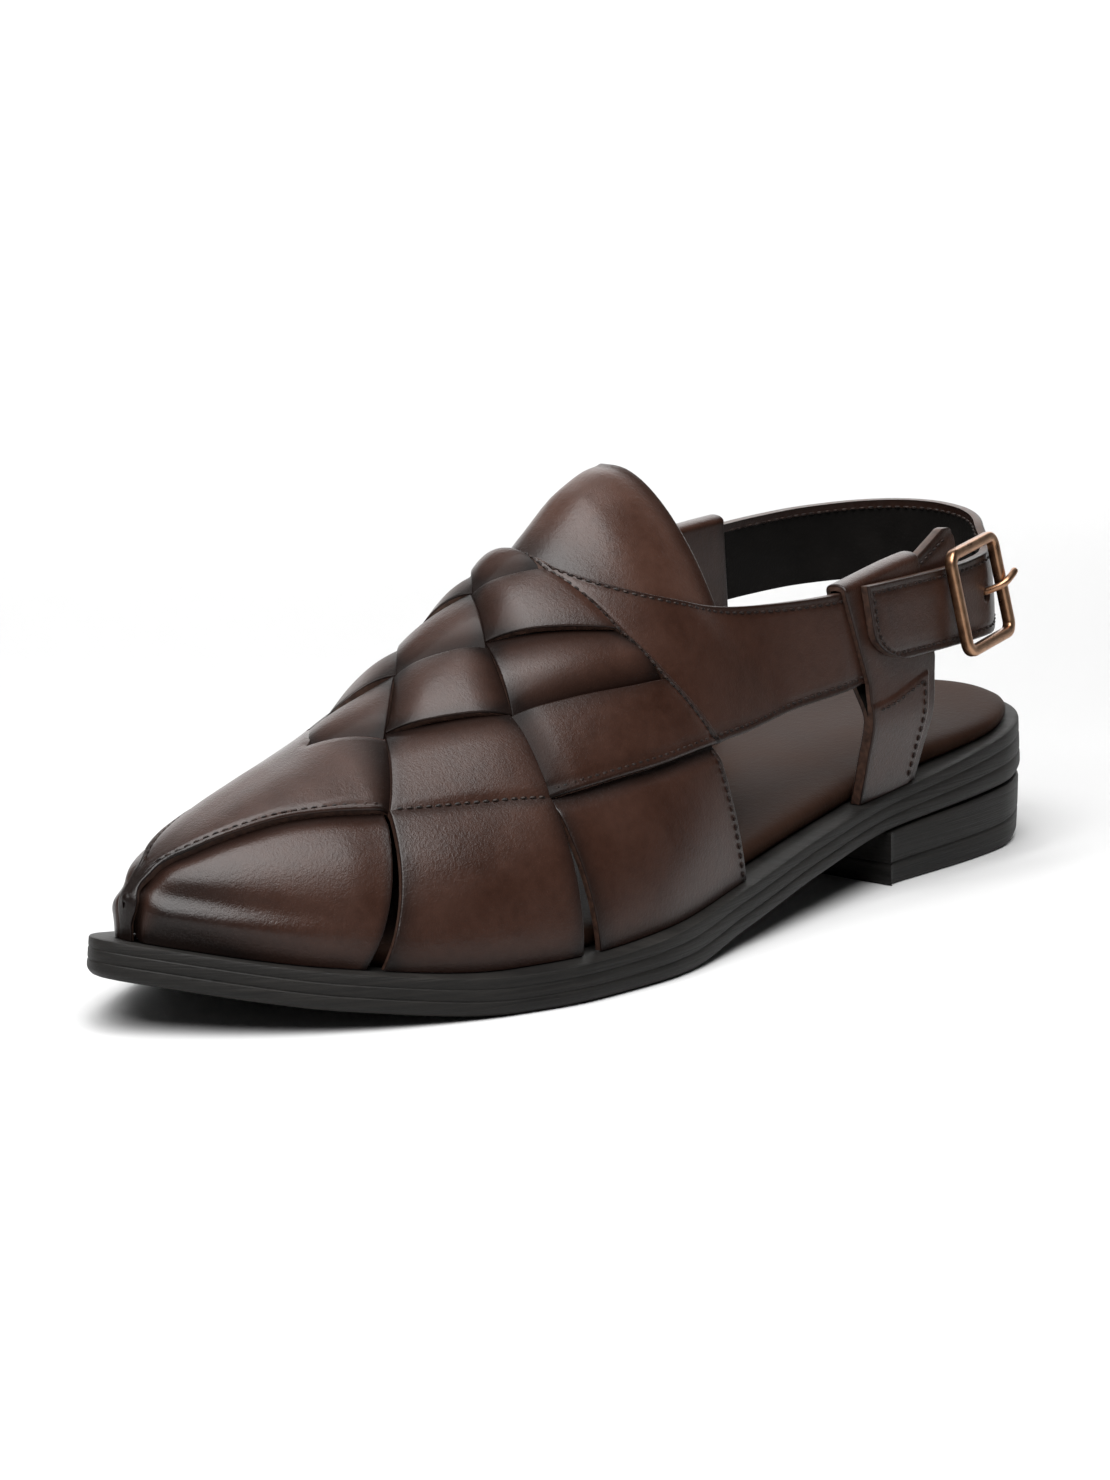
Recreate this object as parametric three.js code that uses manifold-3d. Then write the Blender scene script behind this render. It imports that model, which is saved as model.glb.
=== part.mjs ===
import * as THREE from "three";
import { mergeVertices } from "three/addons/utils/BufferGeometryUtils.js";
import Module from "manifold-3d";

// Left peshawari sandal, in millimetres, heel to toe along +X, lateral side +Y, up +Z.
// Tables are in shoe stations: s runs from the heel back (0) to the toe tip, y to the lateral side.
const LENGTH = 300;
const TOE = 292;
const CENTRE_SHIFT = 2;
const SEAT = 0.3;
const HEEL_FRONT = 80;
const FEATHER_SHARE = 0.895;
const WALL = 2.2;
const GROOVE = 0.8;
const RAISE = 0.5;
const STRAP_THICK = WALL;
const TAB_LAYER = 1.5;
const LOOP_GAP = 0.4;
const STRAP_OUTER = STRAP_THICK + LOOP_GAP + TAB_LAYER + SEAT;
const RIDGE_ROUND = 8;
const RIDGE_SHARE = 0.3;
const RIDGE_FLAT = 0.82;
const ARC_STEPS = 60;
const TONGUE_DEPTH = 3.2;
const TONGUE_THICK = 1.6;
const TONGUE_ROOT = 184;
const TONGUE_SPAN = 0.5;
const TONGUE_TOP = 131;
const TONGUE_DIP = 6;
const BUCKLE = { s: 47.6, rise: 1.3, length: 23, height: 23.8, corner: 2.6, wide: 1.35, deep: 1.4 };
const BUCKLE_TILT = 5.7;
const BUCKLE_LEAN = 11;
const PRONG_RADIUS = 0.9;
const HOLE_RADIUS = 1.8;
const HEEL_BAR = BUCKLE.length / 2;
const HOLE_PLACES = [HEEL_BAR - 4.5, HEEL_BAR + 6.5, HEEL_BAR + 17.5];
const HEEL_LIFT = 5;
const HEEL_LIFT_END = 34;

// Outline of the outsole at its widest step.
const OUTLINE = [
  { s: 0, lateral: 0, medial: 0 },
  { s: 2, lateral: 10.5, medial: -11 },
  { s: 6, lateral: 18.5, medial: -18.5 },
  { s: 14, lateral: 25.8, medial: -26 },
  { s: 28, lateral: 31.2, medial: -31.5 },
  { s: 50, lateral: 33.6, medial: -33.5 },
  { s: 76, lateral: 34.5, medial: -31.5 },
  { s: 112, lateral: 40, medial: -29 },
  { s: 150, lateral: 47.2, medial: -35 },
  { s: 190, lateral: 54.2, medial: -48.5 },
  { s: 210, lateral: 53.6, medial: -50.2 },
  { s: 232, lateral: 48.6, medial: -46.5 },
  { s: 255, lateral: 38.5, medial: -38.5 },
  { s: 272, lateral: 27.5, medial: -32 },
  { s: 286, lateral: 14.5, medial: -25 },
  { s: 295, lateral: 3, medial: -18 },
  { s: 300, lateral: -9, medial: -9 },
];

// Side profile of the outsole slab: top and underside heights.
const PROFILE = [
  { s: 0, top: 32.3, under: 16.9 },
  { s: 76, top: 22.5, under: 13.5 },
  { s: 112, top: 18.6, under: 9.3 },
  { s: 150, top: 13.5, under: 3.6 },
  { s: 178, top: 10.4, under: 0 },
  { s: 205, top: 8.8, under: 0 },
  { s: 228, top: 8.6, under: 0 },
  { s: 265, top: 12.8, under: 4.3 },
  { s: 300, top: 20.5, under: 12 },
];

// Steps of the slab's side: share of its height and how far each lies inside the outline.
const SLAB_STEPS = [
  { rise: 0, inset: 2 },
  { rise: 0.08, inset: 0.6 },
  { rise: 0.2, inset: 0 },
  { rise: 0.36, inset: 0.2 },
  { rise: 0.4, inset: 1 },
  { rise: 0.45, inset: 0.5 },
  { rise: 0.68, inset: 0.6 },
  { rise: 0.71, inset: 1.2 },
  { rise: 0.75, inset: 0.8 },
  { rise: 1, inset: 1 },
];

// Steps of the heel block: share of its height and inset, with one moulded line round it.
const HEEL_STEPS = [
  { rise: 0, inset: 1.2 },
  { rise: 0.04, inset: 0.7 },
  { rise: 0.38, inset: 0.5 },
  { rise: 0.41, inset: 1.1 },
  { rise: 0.44, inset: 0.5 },
  { rise: 1, inset: 0.4 },
];

// Footbed: rings by height and inset, then its width and thickness along the foot.
const FOOTBED_STEPS = [
  { rise: 0, inset: 0.6 },
  { rise: 1.2, inset: 0 },
  { rise: 2.8, inset: 0 },
  { rise: 4.2, inset: 1 },
  { rise: 4.9, inset: 3 },
];
const FOOTBED_SHARE = [
  { s: 0, share: 0.9, thick: 0.7 },
  { s: 30, share: 0.88, thick: 0.76 },
  { s: 62, share: 0.79, thick: 0.93 },
  { s: 100, share: 0.78, thick: 1 },
  { s: 135, share: 0.77, thick: 1 },
  { s: 160, share: 0.76, thick: 1 },
  { s: 185, share: 0.79, thick: 1 },
  { s: 215, share: 0.82, thick: 1 },
  { s: 300, share: 0.82, thick: 1 },
];
const FOOTBED_ENDS = { heel: 3.8, toe: 283 };

// Last under the upper: ridge line and how full each side of the section is.
const LAST = [
  { s: 95, crown: -6, ridge: 107, lateral: 1.64, medial: 1.75 },
  { s: 131, crown: -6, ridge: 107.4, lateral: 1.66, medial: 1.75 },
  { s: 141, crown: -6, ridge: 106.6, lateral: 1.68, medial: 1.72 },
  { s: 152, crown: -6, ridge: 102.6, lateral: 1.7, medial: 1.66 },
  { s: 163, crown: -6, ridge: 95, lateral: 1.7, medial: 1.54 },
  { s: 172, crown: -6, ridge: 88.4, lateral: 1.7, medial: 1.46 },
  { s: 185, crown: -6, ridge: 80.2, lateral: 1.72, medial: 1.42 },
  { s: 194, crown: -6, ridge: 74.6, lateral: 1.74, medial: 1.45 },
  { s: 209, crown: -6, ridge: 66.2, lateral: 1.76, medial: 1.5 },
  { s: 220, crown: -6, ridge: 60.2, lateral: 1.78, medial: 1.5 },
  { s: 229, crown: -6, ridge: 56.2, lateral: 1.8, medial: 1.5 },
  { s: 243, crown: -6.5, ridge: 51.2, lateral: 1.85, medial: 1.55 },
  { s: 253, crown: -7, ridge: 48, lateral: 1.9, medial: 1.6 },
  { s: 265, crown: -7.6, ridge: 43.8, lateral: 1.95, medial: 1.75 },
  { s: 277, crown: -8.3, ridge: 38.8, lateral: 2.05, medial: 1.9 },
  { s: 286, crown: -8.8, ridge: 33.4, lateral: 2.2, medial: 2.1 },
  { s: 292, crown: -9, ridge: 28, lateral: 2.3, medial: 2.3 },
];

// Crossings of the weave on the lateral side and along the ridge; girth is 0 at the ridge, 1 at the sole.
const CROSSINGS = [
  { column: 1, row: 1, s: 240.7, girth: 0.425 },
  { column: 2, row: 1, s: 205.6, girth: 0.591 },
  { column: 3, row: 1, s: 151, girth: 0.7 },
  { column: 0, row: 2, s: 238.5, girth: 0 },
  { column: 1, row: 2, s: 226.9, girth: 0.165 },
  { column: 2, row: 2, s: 202.1, girth: 0.347 },
  { column: 3, row: 2, s: 161.6, girth: 0.509 },
  { column: 1, row: 3, s: 210.5, girth: 0 },
  { column: 2, row: 3, s: 194.8, girth: 0.157 },
  { column: 3, row: 3, s: 167.9, girth: 0.349 },
  { column: 2, row: 4, s: 184.7, girth: 0 },
  { column: 3, row: 4, s: 172.7, girth: 0.122 },
  { column: 3, row: 5, s: 171.8, girth: 0 },
];

// Squares of the weave: the strip between column lines c-1 and c, and row lines r and r+1.
const SQUARES = [
  { column: 2, row: 1 },
  { column: 3, row: 1 },
  { column: 1, row: 2 },
  { column: 2, row: 2 },
  { column: 3, row: 2 },
  { column: 2, row: 3 },
  { column: 3, row: 3 },
  { column: 3, row: 4 },
  { column: 0, row: 3 },
  { column: 0, row: 4 },
  { column: 1, row: 3 },
  { column: 1, row: 4 },
  { column: 2, row: 4 },
];

// Toe strip and toe panel: folded edge, its partner on the ridge, and the foot of the panel.
const TOE_ROWS = [
  { s: 291.85, girth: 1, topS: 292, topGirth: 1, foot: 291.85 },
  { s: 291.8, girth: 0.58, topS: 292, topGirth: 0.5, foot: 290.6 },
  { s: 291, girth: 0.24, topS: 292, topGirth: 0, foot: 288.4 },
  { s: 286.4, girth: 0.118, topS: 287.5, topGirth: 0, foot: 285 },
  { s: 279.5, girth: 0.197, topS: 281, topGirth: 0, foot: 281 },
  { s: 271.7, girth: 0.246, topS: 273, topGirth: 0, foot: 276 },
  { s: 261.2, girth: 0.294, topS: 263, topGirth: 0, foot: 270.5 },
  { s: 251.4, girth: 0.357, topS: 251, topGirth: 0, foot: 264.5 },
  { s: 246, girth: 0.391, topS: 238.5, topGirth: 0, foot: 261 },
  { s: 240.7, girth: 0.425, topS: 226.9, topGirth: 0.165, foot: 257.6 },
];

// Side panels below the weave: the columns they hang between and where they meet the sole.
const PANELS = [
  { column: 2, footFront: 253.6, footBack: 208.8 },
  { column: 3, footFront: 203.6, footBack: 145.5 },
];

// Side strap between the weave and the tabs: lower and upper edge on the last.
const QUARTER = [
  { lowS: 145, lowGirth: 0.706, topS: 170.4, topGirth: 0.152 },
  { lowS: 139, lowGirth: 0.712, topS: 162, topGirth: 0.284 },
  { lowS: 127, lowGirth: 0.714, topS: 149.5, topGirth: 0.388 },
  { lowS: 116, lowGirth: 0.714, topS: 133.6, topGirth: 0.448 },
];
const ROW_LEVELS = [0, 0, 0.3, 0.52, 0.82, 1];
const QUARTER_STOPS = [0, 0.04, 0.12, 0.22, 0.34, 0.48, 0.64, 0.82, 1];

// Path of the straps round the heel, inner face, seen from above.
const STRAP_PATH = [
  { s: 98, y: 31 },
  { s: 84, y: 30.5 },
  { s: 70, y: 29.7 },
  { s: 56, y: 28.4 },
  { s: 42, y: 26.4 },
  { s: 30, y: 23.2 },
  { s: 21.5, y: 16.8 },
  { s: 17, y: 7.5 },
  { s: 15.5, y: -2 },
  { s: 17.5, y: -11.5 },
  { s: 24, y: -20 },
  { s: 36, y: -26.5 },
  { s: 52, y: -29.3 },
  { s: 70, y: -30.3 },
  { s: 98, y: -30.8 },
];

// Lower and upper edge of the side straps along that path.
const STRAP_EDGES = [
  { share: 0, low: 49.8, top: 72.8 },
  { share: 0.14, low: 53, top: 76.6 },
  { share: 0.3, low: 55.2, top: 78.4 },
  { share: 0.5, low: 57.6, top: 80.6 },
  { share: 0.8, low: 57.6, top: 80 },
  { share: 1, low: 54.6, top: 77.6 },
];

// Lower and upper edge of the narrower heel strap.
const HEEL_STRAP_EDGES = [
  { share: 0, low: 55.4, top: 74.3 },
  { share: 0.22, low: 55.3, top: 74.3 },
  { share: 0.31, low: 55.4, top: 75.3 },
  { share: 0.345, low: 56.8, top: 77.3 },
  { share: 0.39, low: 59.6, top: 80.3 },
  { share: 0.45, low: 61.8, top: 82.1 },
  { share: 0.5, low: 62.3, top: 82.4 },
  { share: 0.67, low: 61.2, top: 80.9 },
  { share: 0.8, low: 60, top: 79.6 },
  { share: 1, low: 57, top: 77 },
];

// Sideways lean of the straps and tabs with height.
const LEAN = [
  { z: 18, lateral: -2.6, medial: -5.8 },
  { z: 32, lateral: 0.4, medial: -1 },
  { z: 42, lateral: 2.2, medial: 2.2 },
  { z: 50, lateral: 1.5, medial: 1.5 },
  { z: 66, lateral: 0, medial: 0 },
  { z: 84, lateral: -1.7, medial: -1.7 },
];

// Tabs: front and back edge at the top, under the strap and at the sole, as stations on the strap path.
const TABS = [
  { name: "side_tab_lateral", side: 1, top: [99, 67], waist: [90.8, 62.4], foot: [89.8, 67.2] },
  { name: "side_tab_medial", side: -1, top: [95, 66], waist: [89.6, 61.6], foot: [88, 65.4] },
];
const CHAPE = { end: 46.7, high: 0.2, low: 0.12, round: 4 };
const MEDIAL_END = { end: 79, high: 0, low: 0, round: 0 };
const STRAP_CLEAR = { from: 0.295, to: 0.385 };
const STRAP_TIP = 92.5;
const TIP_SLANT = 2.8;
const TIP_ROUND = 15;
const TIP_CORNER = 0.42;

const MATERIALS = {
  burnished: { color: 0x3a2018, roughness: 0.36, metalness: 0 },
  tongue: { color: 0x42261c, roughness: 0.4, metalness: 0 },
  footbed: { color: 0x231a17, roughness: 0.5, metalness: 0 },
  rubber: { color: 0x171616, roughness: 0.62, metalness: 0 },
  copper: { color: 0x8a5a3c, roughness: 0.36, metalness: 0.9 },
};

const UP = new THREE.Vector3(0, 1, 0);
const STANDING = new THREE.Vector3(0, 0, 1);

const wasm = await Module();
wasm.setup();

const mix = THREE.MathUtils.lerp;
const smooth = THREE.MathUtils.smoothstep;

// Monotone cubic curve through two columns of a table.
function curve(rows, across, up, warp = (value) => value) {
  const xs = rows.map((row) => warp(row[across]));
  const ys = rows.map((row) => row[up]);
  const last = xs.length - 1;
  const slopes = xs.slice(1).map((x, i) => (ys[i + 1] - ys[i]) / (x - xs[i]));
  const tangents = xs.map((x, i) => {
    if (i === 0) return slopes[0];
    if (i === last) return slopes[last - 1];
    const before = slopes[i - 1];
    const after = slopes[i];
    if (before * after <= 0) return 0;
    return 2 * before * after / (before + after);
  });
  return (value) => {
    const x = THREE.MathUtils.clamp(warp(value), xs[0], xs[last]);
    let i = 0;
    while (i < last - 1 && x > xs[i + 1]) i += 1;
    const h = xs[i + 1] - xs[i];
    const t = (x - xs[i]) / h;
    const a = ys[i] * (1 + 2 * t) * (1 - t) * (1 - t);
    const b = tangents[i] * h * t * (1 - t) * (1 - t);
    const c = ys[i + 1] * t * t * (3 - 2 * t);
    const d = tangents[i + 1] * h * t * t * (t - 1);
    return a + b + c + d;
  };
}

// Stations bunch toward both ends so the heel and the toe come out round.
const roundEnds = (s) => Math.acos(THREE.MathUtils.clamp(1 - 2 * s / LENGTH, -1, 1));
const lateralEdge = curve(OUTLINE, "s", "lateral", roundEnds);
const medialEdge = curve(OUTLINE, "s", "medial", roundEnds);
const slabTop = curve(PROFILE, "s", "top");
const slabUnder = curve(PROFILE, "s", "under");
const footbedShare = curve(FOOTBED_SHARE, "s", "share");
const footbedThick = curve(FOOTBED_SHARE, "s", "thick");
const lastCrown = curve(LAST, "s", "crown");
const lastRidge = curve(LAST, "s", "ridge");
const lateralPower = curve(LAST, "s", "lateral");
const medialPower = curve(LAST, "s", "medial");
const strapLow = curve(STRAP_EDGES, "share", "low");
const strapTop = curve(STRAP_EDGES, "share", "top");
const heelStrapLow = curve(HEEL_STRAP_EDGES, "share", "low");
const heelStrapTop = curve(HEEL_STRAP_EDGES, "share", "top");
const lateralLean = curve(LEAN, "z", "lateral");
const medialLean = curve(LEAN, "z", "medial");

// Geometry from a list of points and triangles.
function solidFrom(points, triangles) {
  const plain = new THREE.BufferGeometry();
  const flat = points.flatMap((p) => [p.x, p.y, p.z]);
  plain.setAttribute("position", new THREE.Float32BufferAttribute(flat, 3));
  plain.setIndex(triangles);
  return plain;
}

function toManifold(geometry) {
  const bare = geometry.clone();
  bare.deleteAttribute("normal");
  bare.deleteAttribute("uv");
  const welded = mergeVertices(bare, 1e-4);
  const vertProperties = new Float32Array(welded.attributes.position.array);
  const triVerts = new Uint32Array(welded.index.array);
  const mesh = new wasm.Mesh({ numProp: 3, vertProperties, triVerts });
  mesh.merge();
  return new wasm.Manifold(mesh);
}

function fromManifold(solid) {
  const mesh = solid.getMesh();
  const geometry = new THREE.BufferGeometry();
  geometry.setAttribute("position", new THREE.Float32BufferAttribute(mesh.vertProperties, 3));
  geometry.setIndex(Array.from(mesh.triVerts));
  return geometry;
}

// Ring of points up the lateral side and back down the medial side, drawn in by an inset.
function outlineRing(stations, inset, height, edges, straightFront = false) {
  const lateral = stations.map((s) => new THREE.Vector2(s, edges.lateral(s)));
  const medial = stations.map((s) => new THREE.Vector2(s, edges.medial(s)));
  const closed = straightFront ? medial : medial.slice(0, -1);
  const loop = [...lateral, ...closed.slice(1).reverse()];
  return loop.map((p, i) => {
    const before = loop[(i + loop.length - 1) % loop.length];
    const after = loop[(i + 1) % loop.length];
    const along = after.clone().sub(before).normalize();
    const s = p.x + along.y * inset;
    const y = p.y - along.x * inset;
    return new THREE.Vector3(s, y, height(s));
  });
}

// Stack of rings closed by strips across the foot and the top.
function ringSolid(rings, pairs) {
  const count = rings[0].length;
  const points = rings.flat();
  const triangles = [];
  for (let k = 0; k < rings.length - 1; k += 1) {
    for (let i = 0; i < count; i += 1) {
      const a = k * count + i;
      const b = k * count + (i + 1) % count;
      triangles.push(a, a + count, b, b, a + count, b + count);
    }
  }
  const top = (rings.length - 1) * count;
  for (let i = 0; i < pairs; i += 1) {
    const a = i;
    const b = i + 1;
    const c = (count - i - 1) % count;
    const d = (count - i) % count;
    for (const [p, q, r] of [[a, b, c], [a, c, d]]) {
      if (p === q || q === r || p === r) continue;
      triangles.push(p, q, r);
      triangles.push(top + p, top + r, top + q);
    }
  }
  return solidFrom(points, triangles);
}

function spreadStations(from, to, count, roundFront) {
  return Array.from({ length: count + 1 }, (_, i) => {
    const t = i / count;
    const eased = roundFront ? (1 - Math.cos(Math.PI * t)) / 2 : 1 - Math.cos(Math.PI * t / 2);
    return mix(from, to, eased);
  });
}

const soleEdges = { lateral: lateralEdge, medial: medialEdge };

function buildOutsole() {
  const stations = spreadStations(0, LENGTH, 40, true);
  const rings = SLAB_STEPS.map((step) => {
    const height = (s) => mix(slabUnder(s), slabTop(s), step.rise);
    return outlineRing(stations, step.inset, height, soleEdges);
  });
  return ringSolid(rings, 40);
}

function buildHeel() {
  const stations = spreadStations(0, HEEL_FRONT, 18, false);
  const rings = HEEL_STEPS.map((step) => {
    const lift = (s) => HEEL_LIFT * Math.max(1 - Math.max(s, 0) / HEEL_LIFT_END, 0) ** 2;
    const height = (s) => mix(lift(s), slabUnder(s) - SEAT, step.rise);
    return outlineRing(stations, step.inset, height, soleEdges, true);
  });
  return ringSolid(rings, 18);
}

function buildInsole() {
  const { heel, toe } = FOOTBED_ENDS;
  const onSole = (s) => LENGTH * (s - heel) / (toe - heel);
  const side = (own, other) => (s) => {
    const middle = (own(onSole(s)) + other(onSole(s))) / 2;
    return mix(middle, own(onSole(s)), footbedShare(s));
  };
  const edges = { lateral: side(lateralEdge, medialEdge), medial: side(medialEdge, lateralEdge) };
  const stations = spreadStations(heel, toe, 34, true);
  const rings = FOOTBED_STEPS.map((step) => {
    const height = (s) => slabTop(s) + SEAT + step.rise * footbedThick(s);
    return outlineRing(stations, step.inset, height, edges);
  });
  return ringSolid(rings, 34);
}

// Point on the last at a station and a signed share of the girth, positive to the lateral side.
function lastPoint(station, girth) {
  const s = Math.min(station, TOE);
  const onSole = Math.min(s * LENGTH / TOE, LENGTH);
  const side = girth < 0 ? -1 : 1;
  const middle = (lateralEdge(onSole) + medialEdge(onSole)) / 2;
  const edge = side > 0 ? lateralEdge(onSole) : medialEdge(onSole);
  const crown = lastCrown(s);
  const width = Math.max(side * (mix(middle, edge, FEATHER_SHARE) - crown), 1e-6);
  const foot = slabTop(s) + SEAT;
  const rise = lastRidge(s) - foot;
  const power = side > 0 ? lateralPower(s) : medialPower(s);
  const round = Math.min(RIDGE_ROUND, RIDGE_SHARE * width);
  const soften = (across) => Math.hypot(across, round) - round;
  const arc = [];
  const reach = [];
  for (let i = 0; i <= ARC_STEPS; i += 1) {
    const across = width * Math.sin(Math.PI / 2 * i / ARC_STEPS);
    const share = i === ARC_STEPS ? 1 : soften(across) / soften(width);
    const height = (1 - share ** (power * RIDGE_FLAT)) ** (1 / power);
    arc.push(new THREE.Vector3(s, crown + side * across, foot + rise * height));
    reach.push(i === 0 ? 0 : reach[i - 1] + arc[i].distanceTo(arc[i - 1]));
  }
  const goal = Math.abs(girth) * reach[ARC_STEPS];
  let i = 1;
  while (i < ARC_STEPS && reach[i] < goal) i += 1;
  const t = (goal - reach[i - 1]) / (reach[i] - reach[i - 1]);
  return arc[i - 1].clone().lerp(arc[i], THREE.MathUtils.clamp(t, 0, 1));
}

// Sheet of welded patches that becomes one wall, raised where its strips run over.
class Sheet {
  constructor() {
    this.points = [];
    this.rises = [];
    this.triangles = [];
    this.known = new Map();
  }

  vertex(point, rise) {
    const key = [point.x, point.y, point.z].map((value) => Math.round(value * 200)).join(" ");
    if (!this.known.has(key)) {
      this.known.set(key, this.points.length);
      this.points.push(point.clone());
      this.rises.push(rise);
    }
    return this.known.get(key);
  }

  triangle(a, b, c) {
    if (a === b || b === c || a === c) return;
    this.triangles.push([a, b, c]);
  }

  patch(us, vs, at, rise, flip, open = () => false) {
    const grid = us.map((u) => vs.map((v) => this.vertex(at(u, v), rise(u, v))));
    for (let i = 0; i < us.length - 1; i += 1) {
      for (let j = 0; j < vs.length - 1; j += 1) {
        if (open(i, j)) continue;
        const a = grid[i][j];
        const b = grid[i + 1][j];
        const c = grid[i + 1][j + 1];
        const d = grid[i][j + 1];
        if (flip) {
          this.triangle(a, c, b);
          this.triangle(a, d, c);
        } else {
          this.triangle(a, b, c);
          this.triangle(a, c, d);
        }
      }
    }
  }

  solid(wall, sink = 0) {
    const normals = this.points.map(() => new THREE.Vector3());
    for (const [a, b, c] of this.triangles) {
      const ab = this.points[b].clone().sub(this.points[a]);
      const ac = this.points[c].clone().sub(this.points[a]);
      const face = ab.cross(ac);
      for (const i of [a, b, c]) normals[i].add(face);
    }
    normals.forEach((normal, i) => {
      const { x, z } = this.points[i];
      const standing = Math.abs(z - slabTop(x) - SEAT) < 0.01;
      if (standing) normal.z = 0;
      normal.normalize();
    });
    const count = this.points.length;
    const outer = this.points.map((p, i) => p.clone().addScaledVector(normals[i], this.rises[i] - sink));
    const inner = this.points.map((p, i) => p.clone().addScaledVector(normals[i], -wall - sink));
    const edges = new Map();
    const triangles = [];
    for (const [a, b, c] of this.triangles) {
      triangles.push(a, b, c, a + count, c + count, b + count);
      for (const [p, q] of [[a, b], [b, c], [c, a]]) {
        const back = `${q} ${p}`;
        if (edges.has(back)) edges.delete(back);
        else edges.set(`${p} ${q}`, [p, q]);
      }
    }
    for (const [p, q] of edges.values()) {
      triangles.push(p, p + count, q, q, p + count, q + count);
    }
    return solidFrom([...outer, ...inner], triangles);
  }
}

// Strap path and everything laid out along it.
const pathCurve = new THREE.CatmullRomCurve3(STRAP_PATH.map((row) => new THREE.Vector3(row.s, row.y, 0)));
pathCurve.arcLengthDivisions = 400;
const PATH_LENGTH = pathCurve.getLength();

// Share of the path where it passes a station on one side.
function pathShare(station, side) {
  const back = 0.5;
  let near = side > 0 ? 0 : 1;
  let far = back;
  for (let i = 0; i < 40; i += 1) {
    const middle = (near + far) / 2;
    if (pathCurve.getPointAt(middle).x > station) near = middle;
    else far = middle;
  }
  return (near + far) / 2;
}

function strapPoint(share, offset, z) {
  const held = THREE.MathUtils.clamp(share, 0, 1);
  const point = pathCurve.getPointAt(held);
  const along = pathCurve.getTangentAt(held);
  const outward = new THREE.Vector3(along.y, -along.x, 0).normalize();
  point.addScaledVector(along, (share - held) * PATH_LENGTH);
  const medialShare = smooth(held, 0.4, 0.6);
  const lean = mix(lateralLean(z), medialLean(z), medialShare);
  point.addScaledVector(outward, offset + lean);
  point.z = z;
  return point;
}

function onStrap(share, offset, level) {
  return strapPoint(share, offset, mix(strapLow(share), strapTop(share), level));
}

function onHeelStrap(share, offset, level) {
  return strapPoint(share, offset, mix(heelStrapLow(share), heelStrapTop(share), level));
}

const crossing = (column, row) => {
  const lateral = column + 2 >= row;
  const wanted = lateral ? [column, row] : [row - 2, column + 2];
  const found = CROSSINGS.find((node) => node.column === wanted[0] && node.row === wanted[1]);
  return { s: found.s, girth: lateral ? found.girth : -found.girth };
};

const mixNodes = (a, b, t) => ({ s: mix(a.s, b.s, t), girth: mix(a.girth, b.girth, t) });
const place = (node) => lastPoint(node.s, node.girth);
const STOPS = [0, 0.08, 0.35, 0.65, 0.92, 1];
const PANEL_STOPS = [0, 0.1, 0.36, 0.66, 1];
const within = (t) => t > 0 && t < 1;

function addSquare(sheet, { column, row }) {
  const near = [crossing(column - 1, row), crossing(column, row)];
  const far = [crossing(column - 1, row + 1), crossing(column, row + 1)];
  const rowOver = (column + row) % 2 === 0;
  const at = (u, v) => place(mixNodes(mixNodes(near[0], near[1], u), mixNodes(far[0], far[1], u), v));
  const rise = (u, v) => {
    if (!within(u) || !within(v)) return -GROOVE;
    const along = rowOver ? u : v;
    return mix(-GROOVE, RAISE, 1 - Math.abs(2 * along - 1) ** 5);
  };
  const last = STOPS.length - 2;
  const open = (i, j) => {
    if (rowOver) return row > 1 && j === 0 && i > 0 && i < last;
    return column < 3 && column > 0 && i === last && j > 0 && j < last;
  };
  sheet.patch(STOPS, STOPS, at, rise, false, open);
}

// Toe strip and toe panel of one side, from the toe back to the first column.
function addToe(sheet, side) {
  const rows = TOE_ROWS.map((row) => ({
    edge: { s: row.s, girth: side * row.girth },
    top: { s: row.topS, girth: side * row.topGirth },
    foot: { s: row.foot, girth: side },
  }));
  const turn = rows.length - 2;
  const steps = [...rows.keys()].slice(0, turn).concat(STOPS.map((t) => turn + t));
  const nodeAt = (t, key) => {
    const i = Math.min(Math.floor(t), turn);
    return mixNodes(rows[i][key], rows[i + 1][key], t - i);
  };
  const strip = (t, v) => place(mixNodes(nodeAt(t, "top"), nodeAt(t, "edge"), v));
  const stripRise = (t, v) => {
    const border = v === 1 || t === turn + 1 || (v === 0 && t >= turn);
    return border ? -GROOVE : RAISE;
  };
  const panel = (t, v) => place(mixNodes(nodeAt(t, "edge"), nodeAt(t, "foot"), v));
  const panelRise = (t, v) => mix(-GROOVE, 0, smooth(v, 0, 0.35));
  sheet.patch(steps, STOPS, strip, stripRise, side > 0);
  sheet.patch(steps, PANEL_STOPS, panel, panelRise, side > 0);
}

function addPanel(sheet, side, { column, footFront, footBack }) {
  const signed = (node) => ({ s: node.s, girth: side * node.girth });
  const top = [signed(crossing(column - 1, 1)), signed(crossing(column, 1))];
  const foot = [{ s: footFront, girth: side }, { s: footBack, girth: side }];
  const at = (u, v) => place(mixNodes(mixNodes(top[0], top[1], u), mixNodes(foot[0], foot[1], u), v));
  const rise = (u, v) => mix(-GROOVE, 0, smooth(v, 0, 0.3));
  sheet.patch(STOPS, PANEL_STOPS, at, rise, side > 0);
}

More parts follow.
